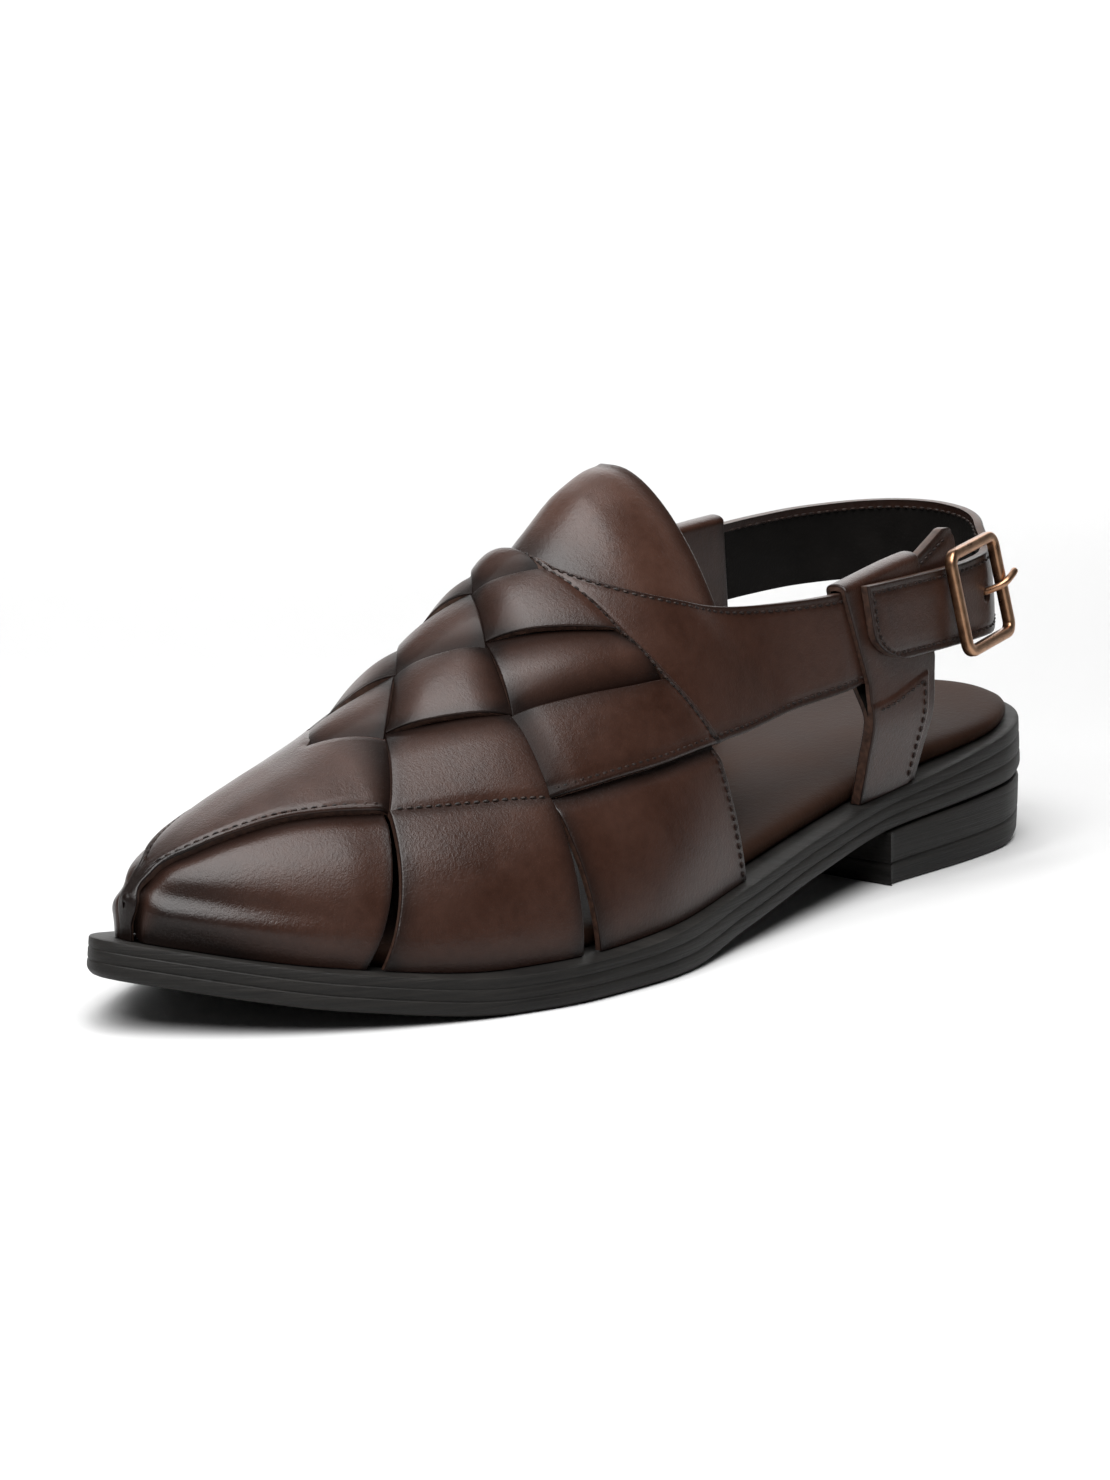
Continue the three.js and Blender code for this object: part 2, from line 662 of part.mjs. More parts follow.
// Side strap from the weave to its end in the tab or behind the buckle.
function addQuarter(sheet, side, ends, runs) {
  const endShare = pathShare(ends.end, side);
  const shares = (level) => {
    const start = side > 0 ? 0 : 1;
    return [start, start + side * 0.03].map((share) => onStrap(share, STRAP_THICK, level));
  };
  for (let row = 1; row <= 4; row += 1) {
    const low = crossing(3, row);
    const top = crossing(3, row + 1);
    const lineAt = (v) => {
      const level = mix(ROW_LEVELS[row], ROW_LEVELS[row + 1], v);
      const root = mixNodes(low, top, v);
      const points = [lastPoint(root.s, side * root.girth)];
      for (const stop of QUARTER) {
        const from = { s: stop.lowS, girth: side * stop.lowGirth };
        const to = { s: stop.topS, girth: side * stop.topGirth };
        points.push(place(mixNodes(from, to, level)));
      }
      points.push(...shares(level));
      return new THREE.CatmullRomCurve3(points);
    };
    const lines = new Map(STOPS.map((v) => [v, lineAt(v)]));
    const reach = QUARTER.length + 2;
    const at = (u, v) => lines.get(v).getPoint(u * (reach - 1) / reach);
    const rise = (u) => mix(-GROOVE, 0, smooth(u, 0, 0.05));
    sheet.patch(QUARTER_STOPS, STOPS, at, rise, side < 0);
    const run = (u, v) => {
      const level = mix(ROW_LEVELS[row], ROW_LEVELS[row + 1], v);
      const turn = THREE.MathUtils.clamp((u - 0.66) / 0.3, 0, 1);
      const cut = ends.round * (1 - Math.sqrt(Math.max(1 - Math.abs(2 * level - 1) ** 4, 0)));
      const start = side > 0 ? 0 : 1;
      const share = mix(start, endShare - side * cut / PATH_LENGTH * u, u);
      return onStrap(share, STRAP_THICK, mix(ends.low * turn, 1 + ends.high * turn, level));
    };
    const stops = Array.from({ length: runs + 1 }, (_, i) => i / runs);
    sheet.patch(stops, STOPS, run, () => 0, side < 0);
  }
}

function buildUpper() {
  const sheet = new Sheet();
  SQUARES.forEach((square) => addSquare(sheet, square));
  for (const side of [1, -1]) {
    addToe(sheet, side);
    PANELS.forEach((panel) => addPanel(sheet, side, panel));
  }
  addQuarter(sheet, 1, CHAPE, 9);
  addQuarter(sheet, -1, MEDIAL_END, 3);
  return sheet.solid(WALL);
}

function buildTongue() {
  const sheet = new Sheet();
  const us = Array.from({ length: 8 }, (_, i) => i / 7);
  const vs = Array.from({ length: 17 }, (_, i) => i / 8 - 1);
  const at = (u, v) => {
    const edge = TONGUE_TOP + TONGUE_DIP * (1 - Math.abs(v)) ** 2;
    return lastPoint(mix(TONGUE_ROOT, edge, u), v * TONGUE_SPAN * mix(0.6, 1, u));
  };
  sheet.patch(us, vs, at, () => 0, true);
  return sheet.solid(TONGUE_THICK, TONGUE_DEPTH);
}

// Solid run of a section drawn as a grid of squares, some of them left open.
function runSection(rows, columns, open, steps, map) {
  const cells = [];
  for (let r = 0; r < rows - 1; r += 1) {
    for (let c = 0; c < columns - 1; c += 1) {
      const corner = r * columns + c;
      if (!open(r, c)) cells.push([corner, corner + 1, corner + columns + 1, corner + columns]);
    }
  }
  const rim = new Map();
  for (const cell of cells) {
    cell.forEach((p, i) => {
      const q = cell[(i + 1) % 4];
      if (!rim.delete(`${q} ${p}`)) rim.set(`${p} ${q}`, [p, q]);
    });
  }
  const count = rows * columns;
  const points = [];
  for (let k = 0; k <= steps; k += 1) {
    for (let i = 0; i < count; i += 1) points.push(map(Math.floor(i / columns), i % columns, k / steps));
  }
  const triangles = [];
  const end = steps * count;
  for (const [p, q, r, s] of cells) {
    triangles.push(p, r, q, p, s, r, end + p, end + q, end + r, end + p, end + r, end + s);
  }
  for (const [p, q] of rim.values()) {
    for (let k = 0; k < steps; k += 1) {
      const here = k * count;
      const next = here + count;
      triangles.push(here + p, here + q, next + q, here + p, next + q, next + p);
    }
  }
  return solidFrom(points, triangles);
}

// Upright tab: one leather folded over the strap, drawn in section and run along the path.
function buildTab({ side, top, waist, foot }) {
  const nominal = { strap: 23, foot: 26 };
  const hole = [-LOOP_GAP, STRAP_THICK + LOOP_GAP];
  const out = hole[1] + TAB_LAYER;
  const back = hole[0] - TAB_LAYER;
  const double = [3, 2, 1, 0].map((layer) => out - layer * 2 * TAB_LAYER / 3);
  const loop = [back, ...hole, out];
  const crest = [back + 0.9, ...hole, out - 0.9];
  const section = [
    { level: -26, across: double },
    { level: -18, across: double },
    { level: -8, across: double },
    { level: -LOOP_GAP, across: loop },
    { level: 12, across: loop },
    { level: nominal.strap + LOOP_GAP, across: loop },
    { level: nominal.strap + LOOP_GAP + TAB_LAYER, across: crest },
  ];
  const shares = ([front, rear]) => [pathShare(front, side), pathShare(rear, side)];
  const topShares = shares(top);
  const waistShares = shares(waist);
  const footShares = shares(foot);
  const map = (row, column, depth) => {
    const { level, across } = section[row];
    const goal = level > 0 ? topShares : footShares;
    const away = level > 0 ? Math.min(level / nominal.strap, 1) : -level / nominal.foot;
    const share = mix(mix(waistShares[0], goal[0], away), mix(waistShares[1], goal[1], away), depth);
    const low = strapLow(share);
    const ground = slabTop(strapPoint(share, 0, low).x) + SEAT;
    const over = Math.max(level - nominal.strap, 0);
    const fair = Math.min(level, nominal.strap) / nominal.strap;
    const z = level >= 0 ? mix(low, strapTop(share), fair) + over : mix(low, ground, -level / nominal.foot);
    return strapPoint(share, across[column], z);
  };
  return runSection(section.length, 4, (r, c) => c === 1 && (r === 3 || r === 4), 4, map);
}

// How far the heel strap stands off the path where it passes over the buckle end of the side strap.
function strapOffset(share) {
  const clear = smooth(share, STRAP_CLEAR.from, STRAP_CLEAR.to);
  return mix(STRAP_OUTER, 0, clear);
}

// Strap round the heel: starts in the medial tab, ends as a tip over the lateral tab.
function buildHeelStrap() {
  const sheet = new Sheet();
  const from = pathShare(MEDIAL_END.end, -1) - SEAT / PATH_LENGTH;
  const to = pathShare(STRAP_TIP, 1);
  const us = Array.from({ length: 41 }, (_, i) => i / 40);
  const vs = [0, 0.02, 0.07, 0.16, 0.3, 0.5, 1];
  const at = (u, v) => {
    const round = TIP_ROUND * (1 - Math.sqrt(1 - Math.max(1 - v / TIP_CORNER, 0) ** 2));
    const corner = TIP_SLANT * (1 - v) + round;
    const share = mix(from, to + corner / PATH_LENGTH * smooth(u, 0.7, 1), u);
    return onHeelStrap(share, STRAP_THICK + strapOffset(share), v);
  };
  sheet.patch(us, vs, at, () => 0, true);
  let solid = toManifold(sheet.solid(STRAP_THICK));
  for (const away of HOLE_PLACES) {
    const share = pathShare(BUCKLE.s, 1) + away / PATH_LENGTH;
    const face = STRAP_THICK + strapOffset(share);
    const middle = onHeelStrap(share, face, 0.5);
    const through = onHeelStrap(share, face + 1, 0.5).sub(middle);
    const punch = new THREE.CylinderGeometry(HOLE_RADIUS, HOLE_RADIUS, 8, 12);
    punch.applyQuaternion(new THREE.Quaternion().setFromUnitVectors(UP, through));
    punch.translate(middle.x, middle.y, middle.z);
    solid = solid.subtract(toManifold(punch));
  }
  return fromManifold(solid);
}

// Local frame of the buckle: x toward the heel, y up, z outward, origin over the strap's face.
function buckleFrame() {
  const share = pathShare(BUCKLE.s, 1);
  const face = STRAP_OUTER + STRAP_THICK;
  const middle = onHeelStrap(share, face, 0.5);
  const level = (away) => strapPoint(share + away * BUCKLE.length / PATH_LENGTH, face, middle.z);
  const heelward = level(0.5).sub(level(-0.5)).normalize();
  const outward = heelward.clone().cross(STANDING);
  const lean = new THREE.Matrix4().makeRotationX(-THREE.MathUtils.degToRad(BUCKLE_LEAN));
  const tilt = new THREE.Matrix4().makeRotationZ(THREE.MathUtils.degToRad(BUCKLE_TILT));
  middle.z += BUCKLE.rise;
  const frame = new THREE.Matrix4().makeBasis(heelward, STANDING, outward).setPosition(middle);
  return frame.multiply(lean).multiply(tilt);
}

const BAR_HEIGHT = SEAT + BUCKLE.deep + 0.3;

// Rounded rectangle swept with an oval bar.
function buildBuckleFrame() {
  const outline = new THREE.Shape();
  const halfX = BUCKLE.length / 2;
  const halfY = BUCKLE.height / 2;
  const r = BUCKLE.corner;
  outline.moveTo(halfX, -halfY + r);
  outline.lineTo(halfX, halfY - r);
  outline.absarc(halfX - r, halfY - r, r, 0, Math.PI / 2);
  outline.lineTo(-halfX + r, halfY);
  outline.absarc(-halfX + r, halfY - r, r, Math.PI / 2, Math.PI);
  outline.lineTo(-halfX, -halfY + r);
  outline.absarc(-halfX + r, -halfY + r, r, Math.PI, 1.5 * Math.PI);
  outline.lineTo(halfX - r, -halfY);
  outline.absarc(halfX - r, -halfY + r, r, 1.5 * Math.PI, 2 * Math.PI);
  const loop = outline.getPoints(5).filter((p, i, all) => p.distanceTo(all[(i + 1) % all.length]) > 1e-3);
  const sides = 10;
  const points = [];
  const triangles = [];
  loop.forEach((p, i) => {
    const before = loop[(i + loop.length - 1) % loop.length];
    const after = loop[(i + 1) % loop.length];
    const along = after.clone().sub(before).normalize();
    for (let k = 0; k < sides; k += 1) {
      const angle = 2 * Math.PI * k / sides;
      const away = BUCKLE.wide * Math.cos(angle);
      const z = BAR_HEIGHT + BUCKLE.deep * Math.sin(angle);
      points.push(new THREE.Vector3(p.x + along.y * away, p.y - along.x * away, z));
      const next = (i + 1) % loop.length;
      const a = i * sides + k;
      const b = i * sides + (k + 1) % sides;
      const c = next * sides + k;
      const d = next * sides + (k + 1) % sides;
      triangles.push(a, c, b, b, c, d);
    }
  });
  return solidFrom(points, triangles).applyMatrix4(buckleFrame());
}

// Bent pin that lies over the bar and drops into a hole of the strap.
function buildProng() {
  const over = BAR_HEIGHT + BUCKLE.deep + SEAT + PRONG_RADIUS;
  const bends = [
    new THREE.Vector3(HEEL_BAR + 3.4, 2.1, over + 0.1),
    new THREE.Vector3(HEEL_BAR + 1.8, 1.7, over + 0.3),
    new THREE.Vector3(HEEL_BAR, 1.1, over + 0.2),
    new THREE.Vector3(HEEL_BAR - 2.2, 0.2, over - 0.5),
    new THREE.Vector3(HEEL_BAR - 4, -0.8, 0.6),
    new THREE.Vector3(HEEL_BAR - 4.6, -1.2, -2.6),
  ];
  const spine = new THREE.CatmullRomCurve3(bends);
  const round = new THREE.Shape();
  round.absarc(0, 0, PRONG_RADIUS, 0, 2 * Math.PI);
  const run = { steps: 14, curveSegments: 4, extrudePath: spine, bevelEnabled: false };
  return new THREE.ExtrudeGeometry(round, run).applyMatrix4(buckleFrame());
}

const shoe = new THREE.Group();
shoe.name = "peshawari_sandal";
shoe.position.set(-LENGTH / 2, -CENTRE_SHIFT, 0);

// Turns a closed body right side out before it is added.
function add(name, geometry, look) {
  const bare = geometry.clone();
  bare.deleteAttribute("normal");
  bare.deleteAttribute("uv");
  const welded = mergeVertices(bare, 1e-4);
  const position = welded.attributes.position;
  const index = welded.index.array;
  const corner = [0, 1, 2].map(() => new THREE.Vector3());
  let volume = 0;
  for (let i = 0; i < index.length; i += 3) {
    corner.forEach((p, k) => p.fromBufferAttribute(position, index[i + k]));
    volume += corner[0].dot(corner[1].cross(corner[2])) / 6;
  }
  if (volume < 0) {
    for (let i = 0; i < index.length; i += 3) {
      [index[i + 1], index[i + 2]] = [index[i + 2], index[i + 1]];
    }
  }
  welded.computeVertexNormals();
  const mesh = new THREE.Mesh(welded, new THREE.MeshStandardMaterial(MATERIALS[look]));
  mesh.name = name;
  shoe.add(mesh);
}

add("outsole", buildOutsole(), "rubber");
add("heel", buildHeel(), "rubber");
add("insole", buildInsole(), "footbed");
add("upper", buildUpper(), "burnished");
add("tongue", buildTongue(), "tongue");
TABS.forEach((tab) => add(tab.name, buildTab(tab), "burnished"));
add("heel_strap", buildHeelStrap(), "burnished");
add("buckle_frame", buildBuckleFrame(), "copper");
add("buckle_prong", buildProng(), "copper");

export default shoe;
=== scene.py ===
import math

import bpy
import numpy as np
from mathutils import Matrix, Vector


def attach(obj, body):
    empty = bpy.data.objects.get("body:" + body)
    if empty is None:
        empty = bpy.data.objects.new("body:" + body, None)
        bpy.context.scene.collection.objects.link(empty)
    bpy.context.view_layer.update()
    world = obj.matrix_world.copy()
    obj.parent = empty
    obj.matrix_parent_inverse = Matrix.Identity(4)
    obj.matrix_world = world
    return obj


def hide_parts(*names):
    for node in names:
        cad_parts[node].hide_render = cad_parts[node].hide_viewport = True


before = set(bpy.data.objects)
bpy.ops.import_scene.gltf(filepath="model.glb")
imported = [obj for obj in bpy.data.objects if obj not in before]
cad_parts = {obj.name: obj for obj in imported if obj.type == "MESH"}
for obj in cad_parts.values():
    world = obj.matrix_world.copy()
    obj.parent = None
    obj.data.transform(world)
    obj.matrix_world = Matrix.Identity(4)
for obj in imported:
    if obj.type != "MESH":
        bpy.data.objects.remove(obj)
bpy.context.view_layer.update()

# Left peshawari sandal, in millimetres: s runs from the heel back to the toe tip, y to the lateral side.
MM = 0.001
LENGTH = 300
TOE = 292
CENTRE_SHIFT = 2
SEAT = 0.3
HEEL_FRONT = 80
FEATHER_SHARE = 0.895
STRAP_THICK = 2.2
TAB_LAYER = 1.5
LOOP_GAP = 0.4
STRAP_OUTER = STRAP_THICK + LOOP_GAP + TAB_LAYER + SEAT
RIDGE_ROUND = 8
RIDGE_SHARE = 0.3
RIDGE_FLAT = 0.82
ARC_STEPS = 60


def table(names, *rows):
    """Columns of a table by name."""
    return dict(zip(names.split(), np.array(rows, float).T))


OUTLINE = table(
    "s lateral medial",
    (0, 0, 0), (2, 10.5, -11), (6, 18.5, -18.5), (14, 25.8, -26), (28, 31.2, -31.5), (50, 33.6, -33.5),
    (76, 34.5, -31.5), (112, 40, -29), (150, 47.2, -35), (190, 54.2, -48.5), (210, 53.6, -50.2),
    (232, 48.6, -46.5), (255, 38.5, -38.5), (272, 27.5, -32), (286, 14.5, -25), (295, 3, -18),
    (300, -9, -9),
)
PROFILE = table(
    "s top under",
    (0, 32.3, 16.9), (76, 22.5, 13.5), (112, 18.6, 9.3), (150, 13.5, 3.6), (178, 10.4, 0),
    (205, 8.8, 0), (228, 8.6, 0), (265, 12.8, 4.3), (300, 20.5, 12),
)
SLAB_STEPS = table(
    "rise inset",
    (0, 2), (0.03, 1.1), (0.08, 0.6), (0.14, 0.25), (0.2, 0.1), (0.3, 0.12), (0.37, 0.2), (0.385, 0.34),
    (0.4, 0.46), (0.415, 0.46), (0.43, 0.36), (0.45, 0.28), (0.57, 0.32), (0.68, 0.4), (0.695, 0.52),
    (0.71, 0.62), (0.725, 0.62), (0.74, 0.54), (0.76, 0.48), (0.87, 0.55), (0.94, 0.6), (0.975, 0.75),
    (0.992, 1.1), (1, 1.7),
)
HEEL_STEPS = table(
    "rise inset",
    (0, 1.4), (0.02, 0.9), (0.05, 0.7), (0.2, 0.6), (0.37, 0.54), (0.39, 0.62), (0.405, 0.85), (0.42, 0.85),
    (0.435, 0.6), (0.46, 0.5), (0.7, 0.45), (0.95, 0.42), (0.985, 0.55), (1, 0.8),
)
HEEL_LIFT, HEEL_LIFT_END = 5, 34
FOOTBED_STEPS = table(
    "rise inset",
    (0, 0.7), (0.6, 0.2), (1.2, 0), (2.2, 0), (3, 0.12), (3.7, 0.5), (4.2, 1.1), (4.55, 1.8), (4.8, 2.8),
    (4.95, 4.4), (5.0, 7), (5.0, 11),
)
FOOTBED = table(
    "s share thick",
    (0, 0.9, 0.7), (30, 0.88, 0.76), (62, 0.79, 0.93), (100, 0.78, 1), (135, 0.77, 1), (160, 0.76, 1),
    (185, 0.79, 1), (215, 0.82, 1), (300, 0.82, 1),
)
FOOTBED_HEEL, FOOTBED_TOE = 3.8, 283
LAST = table(
    "s crown ridge lateral medial",
    (95, -6, 107, 1.64, 1.75), (131, -6, 107.4, 1.66, 1.75), (141, -6, 106.6, 1.68, 1.72),
    (152, -6, 102.6, 1.7, 1.66), (163, -6, 95, 1.7, 1.54), (172, -6, 88.4, 1.7, 1.46),
    (185, -6, 80.2, 1.72, 1.42), (194, -6, 74.6, 1.74, 1.45), (209, -6, 66.2, 1.76, 1.5),
    (220, -6, 60.2, 1.78, 1.5), (229, -6, 56.2, 1.8, 1.5), (243, -6.5, 51.2, 1.85, 1.55),
    (253, -7, 48, 1.9, 1.6), (265, -7.6, 43.8, 1.95, 1.75), (277, -8.3, 38.8, 2.05, 1.9),
    (286, -8.8, 33.4, 2.2, 2.1), (292, -9, 28, 2.3, 2.3),
)

# Crossings of the weave on the lateral side: (column, row) to station and share of the girth.
CROSSINGS = {
    (1, 1): (240.7, 0.425), (2, 1): (205.6, 0.591), (3, 1): (151, 0.7),
    (0, 2): (238.5, 0), (1, 2): (226.9, 0.165), (2, 2): (202.1, 0.347), (3, 2): (161.6, 0.509),
    (1, 3): (210.5, 0), (2, 3): (194.8, 0.157), (3, 3): (167.9, 0.349),
    (2, 4): (184.7, 0), (3, 4): (172.7, 0.122), (3, 5): (171.8, 0),
}
SQUARES = [
    (2, 1), (3, 1), (1, 2), (2, 2), (3, 2), (2, 3), (3, 3), (3, 4), (0, 3), (0, 4), (1, 3), (1, 4), (2, 4),
]
# The medial leg of the toe strip runs on into this square.
JOINED_SQUARE = (0, 3)
FOLDED_SQUARES = ((3, 1), JOINED_SQUARE)
SEWN_SQUARES = ((2, 1), (0, 4))
TOE_ROWS = table(
    "s girth top_s top_girth foot foot_girth",
    (291.85, 1, 292, 1, 291.85, 1), (291.8, 0.58, 292, 0.5, 290.6, 1), (291, 0.24, 292, 0, 288.4, 1),
    (286.4, 0.118, 287.5, 0, 285, 1), (279.5, 0.197, 281, 0, 281, 1), (271.7, 0.246, 273, 0, 276, 1),
    (261.2, 0.294, 263, 0, 270.5, 1), (251.4, 0.357, 251, 0, 264.5, 1), (246, 0.391, 238.5, 0, 261, 1),
    (240.7, 0.425, 226.9, 0.165, 257.6, 1),
)
# Side panels below the weave, by column, with the stations where they meet the sole.
PANEL_FEET = {2: (254.9, 208.8), 3: (203.6, 145.5)}
QUARTER = table(
    "low_s low_girth top_s top_girth bulge",
    (145, 0.706, 170.4, 0.152, 0.75), (139, 0.712, 162, 0.284, 0.35), (127, 0.714, 149.5, 0.388, 0.1),
    (116, 0.714, 133.6, 0.448, 0),
)
ROW_LEVELS = (0, 0.3, 0.52, 0.82, 1)
STRAP_PATH = table(
    "s y",
    (98, 31), (84, 30.5), (70, 29.7), (56, 28.4), (42, 26.4), (30, 23.2), (21.5, 16.8), (17, 7.5),
    (15.5, -2), (17.5, -11.5), (24, -20), (36, -26.5), (52, -29.3), (70, -30.3), (98, -30.8),
)
STRAP_EDGES = table(
    "share low top",
    (0, 49.8, 72.8), (0.14, 53, 76.6), (0.3, 55.2, 78.4), (0.5, 57.6, 80.6), (0.8, 57.6, 80),
    (1, 54.6, 77.6),
)
LEAN = table(
    "z lateral medial",
    (18, -2.6, -5.8), (32, 0.4, -1), (42, 2.2, 2.2), (50, 1.5, 1.5), (66, 0, 0), (84, -1.7, -1.7),
)
HEEL_STRAP_EDGES = table(
    "share low top",
    (0, 55.4, 74.3), (0.22, 55.3, 74.3), (0.31, 55.4, 75.3), (0.345, 56.8, 77.3), (0.39, 59.6, 80.3),
    (0.45, 61.8, 82.1), (0.5, 62.3, 82.4), (0.67, 61.2, 80.9), (0.8, 60, 79.6), (1, 57, 77),
)
TABS = {
    "side_tab_lateral": {"side": 1, "top": (99, 67), "waist": (90.8, 62.4), "foot": (89.8, 67.2)},
    "side_tab_medial": {"side": -1, "top": (95, 66), "waist": (89.6, 61.6), "foot": (88, 65.4)},
}
TAB_HIGH, TAB_LOW, TAB_WIDE = 23, 26, 28
TAB_OUT = STRAP_THICK + LOOP_GAP + TAB_LAYER
TAB_BACK = -LOOP_GAP - TAB_LAYER
TAB_CREST, TAB_ROUND, TAB_SEAM = 0.9, 0.5, 1.4
TAB_PANEL = {"front": 0.1, "back": 0.86, "level": -4.6, "slant": 2.2, "raise": 0.35}
CHAPE = {"end": 46.7, "high": 0.2, "low": 0.12, "rounded": 4}
MEDIAL_END = {"end": 79, "high": 0, "low": 0, "rounded": 0}
STRAP_CLEAR = (0.295, 0.385)
STRAP_WIDE, STRAP_ROUND = 19.3, 0.5
STRAP_TIP, TIP_SLANT, TIP_ROUND, TIP_CORNER = 92.5, 2.8, 15, 0.42
BUCKLE_S, BUCKLE_RISE, BUCKLE_LENGTH, BUCKLE_HEIGHT, BUCKLE_CORNER = 47.6, 1.3, 23, 23.8, 2.6
BUCKLE_WIDE, BUCKLE_DEEP, BUCKLE_TILT, BUCKLE_LEAN = 1.35, 1.4, 5.7, 11
BUCKLE_SQUARE = 0.62
BAR_HEIGHT = SEAT + BUCKLE_DEEP + 0.3
PRONG_RADIUS = 0.9
HOLE_RADIUS, HOLE_DEEP, HOLE_NEAR = 1.8, 1.0, 2.4
HOLE_RIM = (HOLE_RADIUS - 0.55, HOLE_RADIUS + 0.1)
HEEL_BAR = BUCKLE_LENGTH / 2
HOLE_PLACES = (HEEL_BAR - 4.5, HEEL_BAR + 6.5, HEEL_BAR + 17.5)
TONGUE_ROOT, TONGUE_TOP, TONGUE_DIP, TONGUE_SPAN = 184, 131, 6, 0.5
TONGUE_DEPTH, TONGUE_THICK, TONGUE_ROUND = 3.2, 1.6, 0.7
TONGUE_LONG, TONGUE_HALF, TONGUE_NECK = 52, 45, 0.6
BINDING_HIGH, BINDING_IN, BINDING_WIDE = 0.3, 1.2, 0.9

# Leather of the upper: strips, dives, slits, seams and stitches.
STRIP_THICK, STRIP_RAISE, STRIP_DIVE, STRIP_ARCH = 1.4, 0.55, 0.9, 0.7
DIVE_REACH, DIVE_POWER, DIVE_PAST = 9, 2.2, 1.35
END_PAST = 2.2
EDGE_ROUND = 0.4
SLIT_WIDE, SLIT_THIN, SLIT_POWER = 1.7, 0.12, 0.8
BACKING_DEPTH, BACKING_THICK = 1.5, 0.4
SEAM_IN, SEAM_WIDE, SEAM_DEEP = 1.8, 0.5, 0.25
LIP_HIGH, LIP_IN, LIP_WIDE, LIP_GROOVE = 0.4, 0.8, 0.6, 0.35
PULL_DEEP, PULL_WIDE = 0.4, 1.3
STITCH_PITCH, STITCH_LONG, STITCH_RADIUS = 2.2, 1.7, 0.31
STITCH_SINK = np.array([-0.35, 0.06, 0.16, 0.06, -0.35])
STITCH_TAPER = np.array([0.55, 1, 1.05, 1, 0.55])

# Toe strip, with the ends of its lateral and medial legs, and side straps.
TOE_SPLIT, TOE_BACK = 8 / 9, 0.985
TOE_STRIP_LONG, TOE_PANEL_LONG = 130, 45
LEG_ENDS = {1: 1.035, -1: 1.0}
QUARTER_FAN, QUARTER_LONG, QUARTER_RAISE = 0.62, 120, 0.3
ROOT_SWELL, ROOT_IN, ROOT_WIDE, ROOT_PULL = 0.3, 3.2, 1.4, 1.5
CHAPE_FROM, CHAPE_REACH = 0.66, 0.3
QUARTER_TURNED, STRAP_TURNED = 0.9, 0.87

# Panels, and for a top edge its height, the height below it and how far down that is reached.
PANEL_DOME = 0.9
TOE_PANEL_TOP, TUCKED_TOP = (-1.2, 0.15, 4.5), (-1.2, 0.25, 4.5)
RAISED_TOP = (STRIP_RAISE - 0.4, STRIP_RAISE, 2.0)
TOP_FROM = -0.5

# Creases over the toe joint: heights over the sole, and stations where they begin, deepen and end.
CREASE_TROUGH, CREASE_RIDGE, CREASE_WIDE = 11.5, 7, 2.6
TROUGH_DEEP, RIDGE_HIGH, CREASE_FAINT = 0.75, 0.6, 0.1
CREASE_FROM, CREASE_FULL, CREASE_END = (205, 225), (258, 282), (288, 291)
WRINKLE_HIGH, WRINKLE_WIDE, WRINKLE_FROM, WRINKLE_END = 8, 2.2, (218, 232), (272, 284)

# Burnish and painted shade: how dark the leather gets, and how far in from an edge. Edges, rubbed places
# and the toe tip are burnished; dive ends, tucked edges, slits, holes and the foot by the sole are painted
# shade.
DARK_SHADE, END_SHADE, SIDE_SHADE, EDGE_SHADE, FOOT_SHADE = 0.95, 0.9, 0.7, 0.75, 0.6
TUCK_SHADE, TUCK_DARK, RAISED_SHADE, RAISED_DARK = 0.9, (0.5, 5), 0.6, (0.2, 3.5)
END_POWER, MATTE_GAIN = 1.3, 1.5
DARK_TOE = (268, 291)
DARK_END, DARK_SIDE, DARK_FOOT, DARK_EDGE, DARK_POWER = 8, 6, 3, 5, 1.5

# Looks of the faces of a leather piece.
FACE, BACK, RIM, STITCH = range(4)


def mix(a, b, t):
    return a + (b - a) * t


def clamp(x):
    return np.clip(x, 0, 1)


def smooth(x, low, high):
    t = clamp((np.asarray(x, float) - low) / (high - low))
    return t * t * (3 - 2 * t)


def fall(x, low, high):
    """1 up to a low value, then down to 0 at a high one."""
    return 1 - smooth(x, low, high)


def bell(x, centre, width):
    """1 at a centre, falling off softly over a width."""
    return np.exp(-((x - centre) / width) ** 2)


def fade(distance, reach, power=1.0):
    """1 at an edge, falling to 0 at a reach from it."""
    return np.maximum(1 - distance / reach, 0) ** power


def inward(v):
    """Share of the way in from the nearer of two edges, at 0 and at 1."""
    return np.minimum(v, 1 - v)


def unit(v):
    return v / np.maximum(np.linalg.norm(v, axis=-1, keepdims=True), 1e-12)


def apart(a, b):
    """Distance between points."""
    return np.linalg.norm(b - a, axis=-1)


def join(*parts):
    return np.concatenate(parts)


def columns(*values):
    return np.stack(values, axis=-1)


def right_of(along):
    """Directions to the right of flat directions."""
    return columns(along[..., 1], -along[..., 0])


def loop_along(loop):
    """Directions along a closed loop, at each of its points."""
    return unit(np.roll(loop, -1, axis=0) - np.roll(loop, 1, axis=0))


def numbered(shape):
    """Grid of point numbers."""
    return np.arange(math.prod(shape)).reshape(shape)


def grid_of(us, vs):
    return np.meshgrid(us, vs, indexing="ij")


def run_along(points):
    """Distance run along a path, at each of its points."""
    return join([0], np.cumsum(apart(points[:-1], points[1:])))


def along_path(spots, reach, points):
    """Points of a path at distances run along it."""
    return columns(*(np.interp(spots, reach, points[:, k]) for k in range(points.shape[1])))


